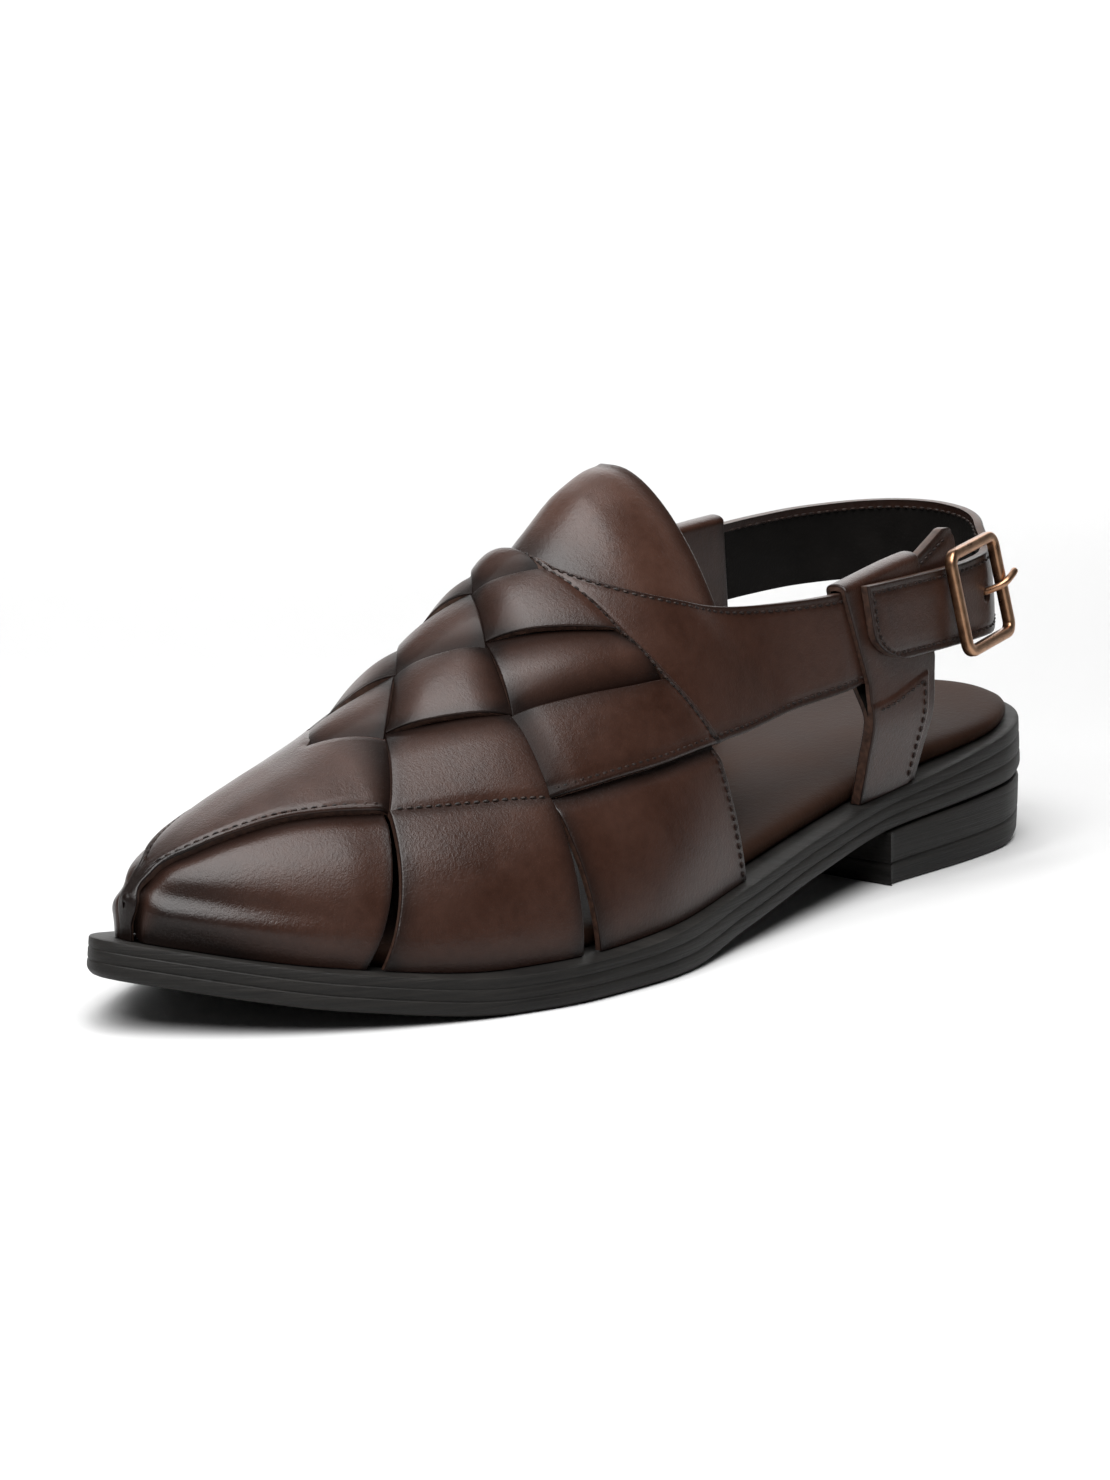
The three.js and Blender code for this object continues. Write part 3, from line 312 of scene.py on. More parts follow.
def curve(rows, across, up, warp=lambda x: x):
    """Monotone cubic curve through two columns of a table."""
    xs, ys = warp(rows[across]), rows[up]
    slopes = np.diff(ys) / np.diff(xs)
    before, after = slopes[:-1], slopes[1:]
    product = before * after
    total = np.where(product > 0, before + after, 1)
    tangents = join(slopes[:1], np.where(product > 0, 2 * product / total, 0), slopes[-1:])

    def at(value):
        x = np.clip(warp(np.asarray(value, float)), xs[0], xs[-1])
        i = np.clip(np.searchsorted(xs, x, side="right") - 1, 0, len(xs) - 2)
        h = xs[i + 1] - xs[i]
        t = (x - xs[i]) / h
        start = ys[i] * (1 + 2 * t) * (1 - t) ** 2 + tangents[i] * h * t * (1 - t) ** 2
        end = ys[i + 1] * t * t * (3 - 2 * t) + tangents[i + 1] * h * t * t * (t - 1)
        return start + end

    return at


def round_ends(s):
    return np.arccos(np.clip(1 - 2 * s / LENGTH, -1, 1))


lateral_edge, medial_edge = (curve(OUTLINE, "s", side, round_ends) for side in ("lateral", "medial"))
slab_top, slab_under = (curve(PROFILE, "s", level) for level in ("top", "under"))
footbed_share, footbed_thick = (curve(FOOTBED, "s", size) for size in ("share", "thick"))
last_crown, last_ridge = (curve(LAST, "s", line) for line in ("crown", "ridge"))
lateral_power, medial_power = (curve(LAST, "s", side) for side in ("lateral", "medial"))
strap_low, strap_top = (curve(STRAP_EDGES, "share", edge) for edge in ("low", "top"))
heel_strap_low, heel_strap_top = (curve(HEEL_STRAP_EDGES, "share", edge) for edge in ("low", "top"))
lateral_lean, medial_lean = (curve(LEAN, "z", side) for side in ("lateral", "medial"))


def last_points(station, girth):
    """Points on the last at stations and signed shares of the girth, positive to the lateral side."""
    station, girth = np.broadcast_arrays(np.asarray(station, float), np.asarray(girth, float))
    s = np.minimum(station, TOE).ravel()
    g = girth.ravel()
    on_sole = np.minimum(s * LENGTH / TOE, LENGTH)
    side = np.where(g < 0, -1.0, 1.0)
    lateral, medial = lateral_edge(on_sole), medial_edge(on_sole)
    edge = np.where(side > 0, lateral, medial)
    crown = last_crown(s)
    width = np.maximum(side * (mix((lateral + medial) / 2, edge, FEATHER_SHARE) - crown), 1e-6)
    foot = slab_top(s) + SEAT
    rise = last_ridge(s) - foot
    power = np.where(side > 0, lateral_power(s), medial_power(s))[:, None]
    soft = np.minimum(RIDGE_ROUND, RIDGE_SHARE * width)[:, None]
    across = width[:, None] * np.sin(math.pi / 2 * np.linspace(0, 1, ARC_STEPS + 1))
    share = (np.hypot(across, soft) - soft) / (np.hypot(width[:, None], soft) - soft)
    height = (1 - clamp(share) ** (power * RIDGE_FLAT)) ** (1 / power)
    y = crown[:, None] + side[:, None] * across
    z = foot[:, None] + rise[:, None] * height
    steps = np.hypot(np.diff(y, axis=1), np.diff(z, axis=1))
    reach = np.concatenate([np.zeros((len(s), 1)), np.cumsum(steps, axis=1)], axis=1)
    goal = np.abs(g) * reach[:, -1]
    i = np.clip((reach < goal[:, None]).sum(axis=1), 1, ARC_STEPS)
    row = np.arange(len(s))
    t = clamp((goal - reach[row, i - 1]) / np.maximum(reach[row, i] - reach[row, i - 1], 1e-9))
    points = columns(s, mix(y[row, i - 1], y[row, i], t), mix(z[row, i - 1], z[row, i], t))
    return points.reshape(station.shape + (3,))


def spline(points, t):
    """Centripetal Catmull-Rom curve through points, at t from 0 to 1."""
    points = np.asarray(points, float)
    last = len(points) - 1
    padded = join([2 * points[0] - points[1]], points, [2 * points[-1] - points[-2]])
    place = np.asarray(t, float) * last
    i = np.clip(np.floor(place).astype(int), 0, last - 1)
    w = (place - i)[..., None]
    p0, p1, p2, p3 = (padded[i + k] for k in range(4))
    d0, d1, d2 = (np.sqrt(apart(a, b))[..., None] for a, b in ((p0, p1), (p1, p2), (p2, p3)))
    start = ((p1 - p0) / d0 - (p2 - p0) / (d0 + d1) + (p2 - p1) / d1) * d1
    end = ((p2 - p1) / d1 - (p3 - p1) / (d1 + d2) + (p3 - p2) / d2) * d1
    squared = 3 * (p2 - p1) - 2 * start - end
    cubed = 2 * (p1 - p2) + start + end
    return p1 + start * w + squared * w ** 2 + cubed * w ** 3


PATH_POINTS = columns(STRAP_PATH["s"], STRAP_PATH["y"])
PATH_T = np.linspace(0, 1, 3001)
PATH_XY = spline(PATH_POINTS, PATH_T)
PATH_REACH = run_along(PATH_XY)
PATH_LENGTH = PATH_REACH[-1]
PATH_STEP = 0.0005
LEAN_CHANGE = (0.4, 0.6)


def path_at(share):
    return spline(PATH_POINTS, np.interp(np.asarray(share) * PATH_LENGTH, PATH_REACH, PATH_T))


def path_share(station, side):
    """Share of the strap path where it passes a station on one side."""
    half = PATH_REACH <= PATH_LENGTH / 2 if side > 0 else PATH_REACH >= PATH_LENGTH / 2
    s, reach = PATH_XY[half, 0], PATH_REACH[half] / PATH_LENGTH
    order = np.argsort(s)
    return float(np.interp(station, s[order], reach[order]))


def strap_point(share, offset, z):
    """Points beside the strap path, from the share of it, the offset outward and the height."""
    share, offset, z = np.broadcast_arrays(*(np.asarray(value, float) for value in (share, offset, z)))
    held = clamp(share)
    along = unit(path_at(clamp(held + PATH_STEP)) - path_at(clamp(held - PATH_STEP)))
    outward = right_of(along)
    lean = mix(lateral_lean(z), medial_lean(z), smooth(held, *LEAN_CHANGE))
    past = (share - held) * PATH_LENGTH
    flat = path_at(held) + along * past[..., None] + outward * (offset + lean)[..., None]
    return np.concatenate([flat, z[..., None]], axis=-1)


def on_strap(share, offset, level):
    return strap_point(share, offset, mix(strap_low(share), strap_top(share), level))


def on_heel_strap(share, offset, level):
    return strap_point(share, offset, mix(heel_strap_low(share), heel_strap_top(share), level))


class Build:
    """Mesh gathered from grids of points, with values for each point and a look for each face."""

    def __init__(self, name):
        self.name = name
        self.points, self.faces, self.looks = [], [], []
        self.values = {"burnish": [], "wrinkle": [], "matte": []}
        self.count = 0

    def add(self, points, faces, looks=FACE, **values):
        points = np.asarray(points, float).reshape(-1, 3)
        self.points.append(points)
        self.faces += [tuple(int(i) + self.count for i in face) for face in faces]
        self.looks += [looks] * len(faces) if isinstance(looks, int) else list(looks)
        for key, kept in self.values.items():
            kept.append(np.broadcast_to(np.asarray(values.get(key, 0.0), float).ravel(), (len(points),)))
        self.count += len(points)

    def slab(self, outer, inner, looks=(FACE, BACK, RIM), **values):
        """Closed body between two grids of points."""
        size = outer.shape[:2]
        values = {key: np.broadcast_to(value, size).ravel() for key, value in values.items()}
        quads = grid_quads(numbered(size))
        self.shell(outer.reshape(-1, 3), inner.reshape(-1, 3), quads, looks, **values)

    def shell(self, outer, inner, quads, looks=(FACE, BACK, RIM), **values):
        """Closed body between two sheets of the same quads, with looks for outside, inside and rim."""
        count = len(outer)
        edges = join(*(quads[:, [k, (k + 1) % 4]] for k in range(4)))
        _, first, times = np.unique(np.sort(edges, axis=1), axis=0, return_index=True, return_counts=True)
        start, end = edges[first[times == 1]].T
        rim = columns(end, start, start + count, end + count)
        points = join(outer, inner)
        faces = faced_out(points, join(quads, quads[:, ::-1] + count, rim))
        sizes = (len(quads), len(quads), len(rim))
        look = join(*(np.broadcast_to(look, (size,)) for look, size in zip(looks, sizes)))
        self.add(points, faces, look, **{key: np.tile(value, 2) for key, value in values.items()})

    def tube(self, path, radius, up, sides, look=FACE, **values):
        """Round bar along a path, closed at both ends."""
        count = len(path)
        along = unit(np.gradient(path, axis=0))
        side = unit(np.cross(along, np.broadcast_to(up, path.shape)))
        high = np.cross(side, along)
        angle = np.linspace(0, 2 * math.pi, sides, endpoint=False)[None, :, None]
        around = side[:, None] * np.cos(angle) + high[:, None] * np.sin(angle)
        rings = path[:, None] + np.broadcast_to(radius, (count,))[:, None, None] * around
        numbers = numbered((count, sides))
        faces = ring_quads(numbers)[:, [0, 3, 2, 1]].tolist()
        faces += [numbers[0, ::-1].tolist(), numbers[-1].tolist()]
        self.add(rings, faces, look, **values)

    def piece(self, materials, node, sharp=50):
        """Finished object that rides with the shoe."""
        mesh = bpy.data.meshes.new(self.name)
        points = (join(*self.points) - (LENGTH / 2, CENTRE_SHIFT, 0)) * MM
        mesh.from_pydata(points.tolist(), [], self.faces)
        mesh.polygons.foreach_set("material_index", np.array(self.looks, np.int32))
        mesh.polygons.foreach_set("use_smooth", np.ones(len(self.faces), bool))
        for key, kept in self.values.items():
            attribute = mesh.attributes.new(key, "FLOAT", "POINT")
            attribute.data.foreach_set("value", join(*kept).astype(np.float32))
        for material in materials:
            mesh.materials.append(material)
        mesh.update()
        mesh.set_sharp_from_angle(angle=math.radians(sharp))
        obj = bpy.data.objects.new(self.name, mesh)
        bpy.context.scene.collection.objects.link(obj)
        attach(obj, "root")
        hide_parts(node)
        return obj


def grid_quads(grid):
    """Quads between the neighbours of a grid of point numbers."""
    return columns(grid[:-1, :-1], grid[1:, :-1], grid[1:, 1:], grid[:-1, 1:]).reshape(-1, 4)


def ring_quads(grid):
    """Quads between the rows of a grid of point numbers, each row closed into a ring."""
    return grid_quads(np.concatenate([grid, grid[:, :1]], axis=1))


def faced_out(points, quads):
    """Quads of a closed body, turned over where they face inward."""
    a, b, c, d = (points[quads[:, k]] for k in range(4))
    volume = np.einsum("ij,ij->", a, np.cross(b, c)) + np.einsum("ij,ij->", a, np.cross(c, d))
    return quads if volume > 0 else quads[:, ::-1]


class Skin:
    """Leather laid on a surface: base points from u and v, with a relief along their outward normals."""

    def __init__(self, base, relief, out=1, reach=0.0):
        self.base, self.relief, self.out, self.reach = base, relief, out, reach

    def normal(self, u, v, step=0.003):
        du = self.base(u + step, v) - self.base(u - step, v)
        low, high = v - step, v + step
        if self.reach:
            low, high = np.maximum(v - self.reach, 0), np.minimum(v + self.reach, 1)
        dv = self.base(u, high) - self.base(u, low)
        return unit(np.cross(du, dv)) * self.out

    def at(self, u, v, lift=0.0):
        u, v = np.broadcast_arrays(np.asarray(u, float), np.asarray(v, float))
        normal = self.normal(u, v)
        return self.base(u, v) + normal * (self.relief(u, v) + lift)[..., None], normal

    def sheet(self, us, vs, thick):
        """Grids of u and v, of the outer points and of the points a thickness below them."""
        u, v = grid_of(us, vs)
        outer, normal = self.at(u, v)
        return u, v, outer, outer - normal * thick


def stops(low, high, count, round_low=0.0, round_high=0.0):
    """Even stops from low to high, closer together where an edge is rounded."""
    near = np.array([0, 0.08, 0.25, 0.5, 0.75, 1.0])
    every = join(np.linspace(low, high, count), low + near * round_low, high - near * round_high)
    return np.unique(np.round(every, 6))


def roll(distance, radius):
    """Drop of a rounded edge at a distance in from it."""
    away = np.clip(radius - distance, 0, radius)
    return radius - np.sqrt(np.maximum(radius ** 2 - away ** 2, 0))


def stitch_line(build, places, normals):
    """Thread laid along a seam: one short bent strand for each stitch."""
    reach = run_along(places)
    count = max(int(reach[-1] / STITCH_PITCH), 1)
    for centre in (np.arange(count) + 0.5) * reach[-1] / count:
        spots = centre + np.linspace(-0.5, 0.5, len(STITCH_SINK)) * STITCH_LONG
        up = unit(along_path(centre, reach, normals))
        path = along_path(spots, reach, places) + up * STITCH_SINK[:, None]
        build.tube(path, STITCH_RADIUS * STITCH_TAPER, up, sides=6, look=STITCH)


def sew(build, skin, u, v, lift=0.05, flip=1):
    places, normals = skin.at(u, v, lift)
    stitch_line(build, places, normals * flip)


class Look:
    """Node material with its own grain, wear and gloss."""

    def __init__(self, name):
        self.material = bpy.data.materials.new(name)
        self.material.use_nodes = True
        self.tree = self.material.node_tree
        self.shader = self.tree.nodes["Principled BSDF"]
        self.place = self.node("ShaderNodeTexCoord", {}).outputs["Object"]

    def put(self, socket, value):
        """Link a socket to another one, or set its value."""
        if isinstance(value, bpy.types.NodeSocket):
            self.tree.links.new(value, socket)
        else:
            socket.default_value = value

    def node(self, kind, inputs, **settings):
        made = self.tree.nodes.new(kind)
        for key, value in settings.items():
            setattr(made, key, value)
        for key, value in inputs.items():
            self.put(made.inputs[key], value)
        return made

    def ramp(self, factor, *marks):
        """Colour from a factor; each mark is a place and a colour or a grey."""
        made = self.node("ShaderNodeValToRGB", {"Fac": factor})
        band = made.color_ramp.elements
        while len(band) < len(marks):
            band.new(0.5)
        for element, (place, colour) in zip(band, marks):
            element.position = place
            element.color = (*colour, 1) if isinstance(colour, tuple) else (colour, colour, colour, 1)
        return made.outputs["Color"]

    def blend(self, factor, first, second):
        made = self.node("ShaderNodeMix", {"Factor": factor}, data_type="RGBA")
        for socket, value in zip((s for s in made.inputs if s.type == "RGBA"), (first, second)):
            self.put(socket, value)
        return next(s for s in made.outputs if s.type == "RGBA")

    def sum(self, first, second, clamped=False):
        inputs = {0: first, 1: second}
        return self.node("ShaderNodeMath", inputs, operation="ADD", use_clamp=clamped).outputs[0]

    def times(self, first, second):
        return self.node("ShaderNodeMath", {0: first, 1: second}, operation="MULTIPLY").outputs[0]

    def value(self, name):
        return self.node("ShaderNodeAttribute", {}, attribute_name=name).outputs["Fac"]

    def noise(self, scale, detail=3.0, rough=0.5, distortion=0.0, place=None):
        inputs = {"Vector": place or self.place, "Scale": scale, "Detail": detail}
        inputs |= {"Roughness": rough, "Distortion": distortion}
        return self.node("ShaderNodeTexNoise", inputs).outputs["Fac"]

    def stretched(self, *scale):
        return self.node("ShaderNodeMapping", {"Vector": self.place, "Scale": scale}).outputs["Vector"]

    def pores(self, scale):
        inputs = {"Vector": self.place, "Scale": scale}
        return self.node("ShaderNodeTexVoronoi", inputs, feature="F1").outputs["Distance"]

    def bump(self, height, distance, strength, under=None):
        inputs = {"Height": height, "Distance": distance, "Strength": strength}
        if under is not None:
            inputs["Normal"] = under
        return self.node("ShaderNodeBump", inputs).outputs["Normal"]

    def finished(self, inputs):
        """Material with the inputs of its shader linked or set."""
        for key, value in inputs.items():
            self.put(self.shader.inputs[key], value)
        return self.material


def leather(name, dark, middle, light, gloss=0.33):
    """Burnished leather: pale where it is rubbed, dark at the edges and where shade is painted in, with
    pores and fine wrinkles.
    """
    look = Look(name)
    matte = look.value("matte")
    cloud = look.noise(55.0, 5.0, 0.6)
    mottle = look.noise(420.0, 3.0, 0.6)
    tone = look.sum(look.times(cloud, 0.75), look.times(mottle, 0.3))
    body = look.ramp(tone, (0.36, middle), (0.7, light))
    shade = look.times(look.sum(cloud, -0.5), 0.45)
    fine = look.bump(look.pores(2600.0), 0.00005, 0.5)
    coarse = look.bump(look.noise(1100.0, 4.0, 0.7), 0.00016, 0.6, fine)
    folds = look.noise(1.0, 3.0, 0.55, 0.6, look.stretched(1500.0, 1500.0, 420.0))
    polish = look.ramp(cloud, (0.25, gloss - 0.05), (0.75, gloss + 0.09))
    return look.finished({
        # Colour darkens toward the dark tone where the leather is burnished and where shade is painted in.
        "Base Color": look.blend(look.sum(look.value("burnish"), shade, True), body, (*dark, 1)),
        "Normal": look.bump(look.times(folds, look.value("wrinkle")), 0.00018, 0.7, coarse),
        "Roughness": look.sum(polish, look.times(matte, 0.2), True),
        # Reflection dimmed where a strip dives under its neighbour: painted shade; the rougher finish there
        # is matte leather.
        "Specular Tint": look.ramp(matte, (0.0, 1.0), (1.0, 0.2)),
        "Specular IOR Level": 0.27,
        "Coat Weight": 0.05,
        "Coat Roughness": 0.16,
    })


def lining_leather():
    look = Look("lining_leather")
    cloud = look.noise(90.0, 4.0)
    return look.finished({
        "Base Color": look.ramp(cloud, (0.3, (0.003, 0.0026, 0.0023)), (0.75, (0.007, 0.006, 0.0053))),
        "Normal": look.bump(look.pores(1500.0), 0.00008, 0.7),
        "Roughness": look.ramp(cloud, (0.2, 0.55), (0.8, 0.7)),
        "IOR": 1.2,
    })


def edge_paint():
    look = Look("edge_paint")
    fuzz = look.noise(900.0, 4.0)
    return look.finished({
        "Base Color": look.ramp(fuzz, (0.3, (0.018, 0.009, 0.006)), (0.8, (0.07, 0.034, 0.022))),
        "Normal": look.bump(fuzz, 0.00008, 0.6),
        "Roughness": look.ramp(fuzz, (0.2, 0.38), (0.8, 0.55)),
    })


def thread():
    look = Look("thread")
    inputs = {"Vector": look.place, "Scale": 900.0, "Distortion": 2.0}
    ply = look.node("ShaderNodeTexWave", inputs, bands_direction="DIAGONAL").outputs["Fac"]
    return look.finished({
        "Base Color": look.ramp(ply, (0.2, (0.004, 0.002, 0.0015)), (0.9, (0.02, 0.0098, 0.0066))),
        "Normal": look.bump(ply, 0.00008, 0.7),
        "Roughness": 0.55,
        "Specular IOR Level": 0.25,
    })


def sole_rubber():
    """Black sole edge, brushed along its length."""
    look = Look("sole_rubber")
    streak = look.noise(1.0, 5.0, 0.65, 0.0, look.stretched(22.0, 22.0, 1500.0))
    tone = look.sum(look.times(streak, 0.7), look.times(look.noise(70.0, 4.0), 0.3))
    grit = look.bump(look.noise(1800.0), 0.00004, 0.5)
    return look.finished({
        "Base Color": look.ramp(tone, (0.32, (0.002, 0.0018, 0.0016)), (0.7, (0.0135, 0.0118, 0.0102))),
        "Normal": look.bump(streak, 0.0003, 0.85, grit),
        "Roughness": look.ramp(tone, (0.25, 0.5), (0.75, 0.66)),
        "Specular IOR Level": 0.25,
    })


def antique_copper():
    look = Look("antique_copper")
    cloud = look.noise(260.0, 5.0, 0.65)
    tone = look.sum(look.value("burnish"), look.times(cloud, 0.7))
    scratch = look.noise(1.0, place=look.stretched(2600.0, 500.0, 500.0))
    dull, worn, bright = (0.1, 0.052, 0.03), (0.27, 0.145, 0.083), (0.52, 0.31, 0.19)
    return look.finished({
        "Base Color": look.ramp(tone, (0.25, dull), (0.55, worn), (0.9, bright)),
        "Metallic": 1.0,
        "Normal": look.bump(scratch, 0.00003, 0.5),
        "Roughness": look.ramp(cloud, (0.25, 0.24), (0.8, 0.42)),
    })


def footbed_leather():
    look = Look("footbed_leather")
    cloud = look.noise(38.0, 5.0, 0.6)
    fine = look.bump(look.pores(1700.0), 0.00005, 0.6)
    return look.finished({
        "Base Color": look.ramp(cloud, (0.28, (0.017, 0.0082, 0.0054)), (0.75, (0.035, 0.0185, 0.0128))),
        "Normal": look.bump(look.noise(520.0, 4.0), 0.00012, 0.5, fine),
        "Roughness": look.ramp(cloud, (0.2, 0.45), (0.8, 0.6)),
        "IOR": 1.09,
    })


# Darkest tone: of burnished leather, and of painted shade.
DARK = (0.0048, 0.0021, 0.0014)
UPPER_LEATHER = leather("upper_leather", DARK, (0.02, 0.0077, 0.0046), (0.04, 0.0172, 0.0112))
# Paler copy of the upper leather for the tongue: a painted highlight.
TONGUE_LEATHER_LIT = leather("tongue_leather", DARK, (0.031, 0.0128, 0.0081), (0.058, 0.027, 0.0184))
LINING = lining_leather()
EDGE = edge_paint()
SOLE = sole_rubber()
COPPER = antique_copper()
LEATHER_LOOKS = (UPPER_LEATHER, LINING, EDGE, thread())


# Upper: strips of the weave, the toe strip, the side panels and the side straps.
def crossing(column, row):
    if column + 2 >= row:
        return np.array(CROSSINGS[column, row])
    s, girth = CROSSINGS[row - 2, column + 2]
    return np.array([s, -girth])


def on_last(spot):
    return last_points(spot[..., 0], spot[..., 1])


def straight(a, b):
    """Line from one place of the last to another."""
    return lambda u: mix(a, b, u[..., None])


def between(first, second):
    """Stretch of the last between two lines: v is 0 on the first and 1 on the second."""
    return lambda u, v: on_last(mix(first(u), second(u), v[..., None]))


def span(base, start, end):
    """Distance between two places of a surface."""
    return float(apart(*(base(np.array(u, float), np.array(v, float)) for u, v in (start, end))))


def tuck(distance):
    """Share of a dive at a distance from the line where a strip goes under: 1 at the line, more past it."""
    return np.clip(1 - distance / DIVE_REACH, 0, DIVE_PAST) ** DIVE_POWER


def over_sole(points):
    return points[..., 2] - slab_top(points[..., 0])


def toe_shade(points):
    """Burnish that darkens toward the toe tip."""
    return DARK_SHADE * smooth(points[..., 0], *DARK_TOE)


def foot_shade(points):
    """Painted shade that darkens the leather toward the sole, in the corner where the upper meets it."""
    return FOOT_SHADE * bell(over_sole(points), 0, DARK_FOOT)


def groove(distance, deep=SEAM_DEEP):
    """Groove that a seam pulls in beside an edge, at a distance in from the edge."""
    return deep * bell(distance, SEAM_IN, SEAM_WIDE)


def fold_lip(distance):
    """Lip of a folded edge and the groove of its seam, at a distance in from the edge."""
    return LIP_HIGH * bell(distance, LIP_IN, LIP_WIDE) - groove(distance, LIP_GROOVE)


def turned_looks(v, start):
    """Looks of the inside of a strap: leather along its turned upper edge, lining below."""
    return np.where(v[:-1, :-1] > start, FACE, BACK).ravel()


def panel_top(under, start, end, reach):
    """Height of a panel at a distance under its top edge."""
    return mix(start, end, smooth(under, TOP_FROM, reach))


def square_skin(column, row):
    """Strip that runs over one square of the weave; u runs along it and v across it."""
    row_over = (column + row) % 2 == 0
    a, b = crossing(column - 1, row), crossing(column, row)
    c, d = crossing(column - 1, row + 1), crossing(column, row + 1)
    corners = (a, b, c, d) if row_over else (a, c, b, d)
    if row_over:
        dives = (column != 0, column != 3)
    else:
        dives = (row != 1 and (column, row) != JOINED_SQUARE, row != 4)
    sewn = (not dives[0] and (column, row) != JOINED_SQUARE, not dives[1])
    lifted = row_over and row > 1

    flat = between(straight(*corners[:2]), straight(*corners[2:]))
    wide = span(flat, (0.5, 0), (0.5, 1))
    long = span(flat, (0, 0.5), (1, 0.5))

    def base(u, v):
        gap = SLIT_WIDE * clamp(1 - u) ** SLIT_POWER if lifted else 0 * u
        return flat(u, mix((SLIT_THIN + gap) / wide, 1 - SLIT_THIN / wide, v))

    def relief(u, v):
        front, rear = u * long, (1 - u) * long
        ends = dives[0] * tuck(front) + dives[1] * tuck(rear)
        pulled = sewn[0] * bell(front, 0, PULL_WIDE) + sewn[1] * bell(rear, 0, PULL_WIDE)
        height = STRIP_RAISE - (STRIP_RAISE + STRIP_DIVE) * ends - PULL_DEEP * pulled
        arch = STRIP_ARCH * (1 - (2 * v - 1) ** 2) * (1 - (2 * u - 1) ** 2)
        lip = fold_lip(v * wide) if (column, row) in FOLDED_SQUARES else 0
        return height + arch + lip - roll(inward(v) * wide, EDGE_ROUND)

    return Skin(base, relief, 1 if row_over else -1), long, wide, dives


def add_square(build, column, row):
    skin, long, wide, dives = square_skin(column, row)
    past = END_PAST / long
    us = stops(-past * dives[0], 1 + past * dives[1], 28)
    vs = stops(0, 1, 20, EDGE_ROUND / wide, EDGE_ROUND / wide)
    u, v, outer, inner = skin.sheet(us, vs, STRIP_THICK)
    # Painted shade at the ends where the strip dives under its neighbour; along the sides, burnish at the
    # edge and painted shade under the neighbours.
    ends = np.maximum(dives[0] * fade(u * long, DARK_END), dives[1] * fade((1 - u) * long, DARK_END))
    shade = clamp(END_SHADE * clamp(ends) ** END_POWER + SIDE_SHADE * fade(inward(v) * wide, DARK_SIDE, 2))
    build.slab(outer, inner, burnish=np.maximum(shade, toe_shade(outer)), matte=clamp(MATTE_GAIN * ends))
    line = np.linspace(0.03, 0.97, 60)
    if (column, row) in FOLDED_SQUARES:
        sew(build, skin, line, SEAM_IN / wide)
    if (column, row) in SEWN_SQUARES:
        sew(build, skin, 0.2 / long, line)


def add_backing(build, column, row):
    """Lined stretch of the strip that passes under a square and closes the slit beside it; every face takes
    the dark lining look, which paints the shade seen down the slit.
    """
    skin = square_skin(column, row)[0]
    under = Skin(skin.base, lambda u, v: 0 * u - BACKING_DEPTH, skin.out)
    _, _, outer, inner = under.sheet(np.linspace(0, 1, 7), np.linspace(-0.12, 1.02, 7), BACKING_THICK)
    build.slab(outer, inner, looks=(BACK, BACK, BACK))


def toe_line(key_s, key_girth, side):
    """Station and girth along the toe rows, from the toe tip back."""
    places = columns(TOE_ROWS[key_s], TOE_ROWS[key_girth])
    return lambda u: np.maximum(spline(places, u), 0) * (1, side)


def widths_along(base, us):
    """Widths of a surface from v = 0 to v = 1, at stops of u."""
    return apart(base(us, 0 * us), base(us, 1 + 0 * us))


# Halves of the toe strip: v is 0 on the ridge and 1 at the folded edge.
TOE_HALVES = {
    side: between(toe_line("top_s", "top_girth", side), toe_line("s", "girth", side)) for side in LEG_ENDS
}
TOE_U = np.linspace(0, 1, 41)
TOE_WIDTHS = np.maximum(widths_along(TOE_HALVES[1], TOE_U), 1.0)


def toe_strip_base(u, v):
    """Whole toe strip: v runs from -1 at the medial folded edge to 1 at the lateral one."""
    away = np.abs(v)
    return np.where((v >= 0)[..., None], TOE_HALVES[1](u, away), TOE_HALVES[-1](u, away))


def toe_half(u):
    """Half width of the toe strip in millimetres."""
    return np.interp(u, TOE_U, TOE_WIDTHS)


def toe_strip_relief(u, v, dives=0):
    edge = (1 - np.abs(v)) * toe_half(u)
    inner = np.where(u > TOE_SPLIT, np.abs(v) * toe_half(u), EDGE_ROUND)
    dive = dives * tuck((1 - u) * TOE_STRIP_LONG)
    height = STRIP_RAISE - (STRIP_RAISE + STRIP_DIVE) * dive
    lip = fold_lip(edge) * (1 - np.minimum(dive, 1)) * smooth(toe_half(u), 2, 6)
    return height + lip - roll(edge, EDGE_ROUND) - roll(inner, EDGE_ROUND)


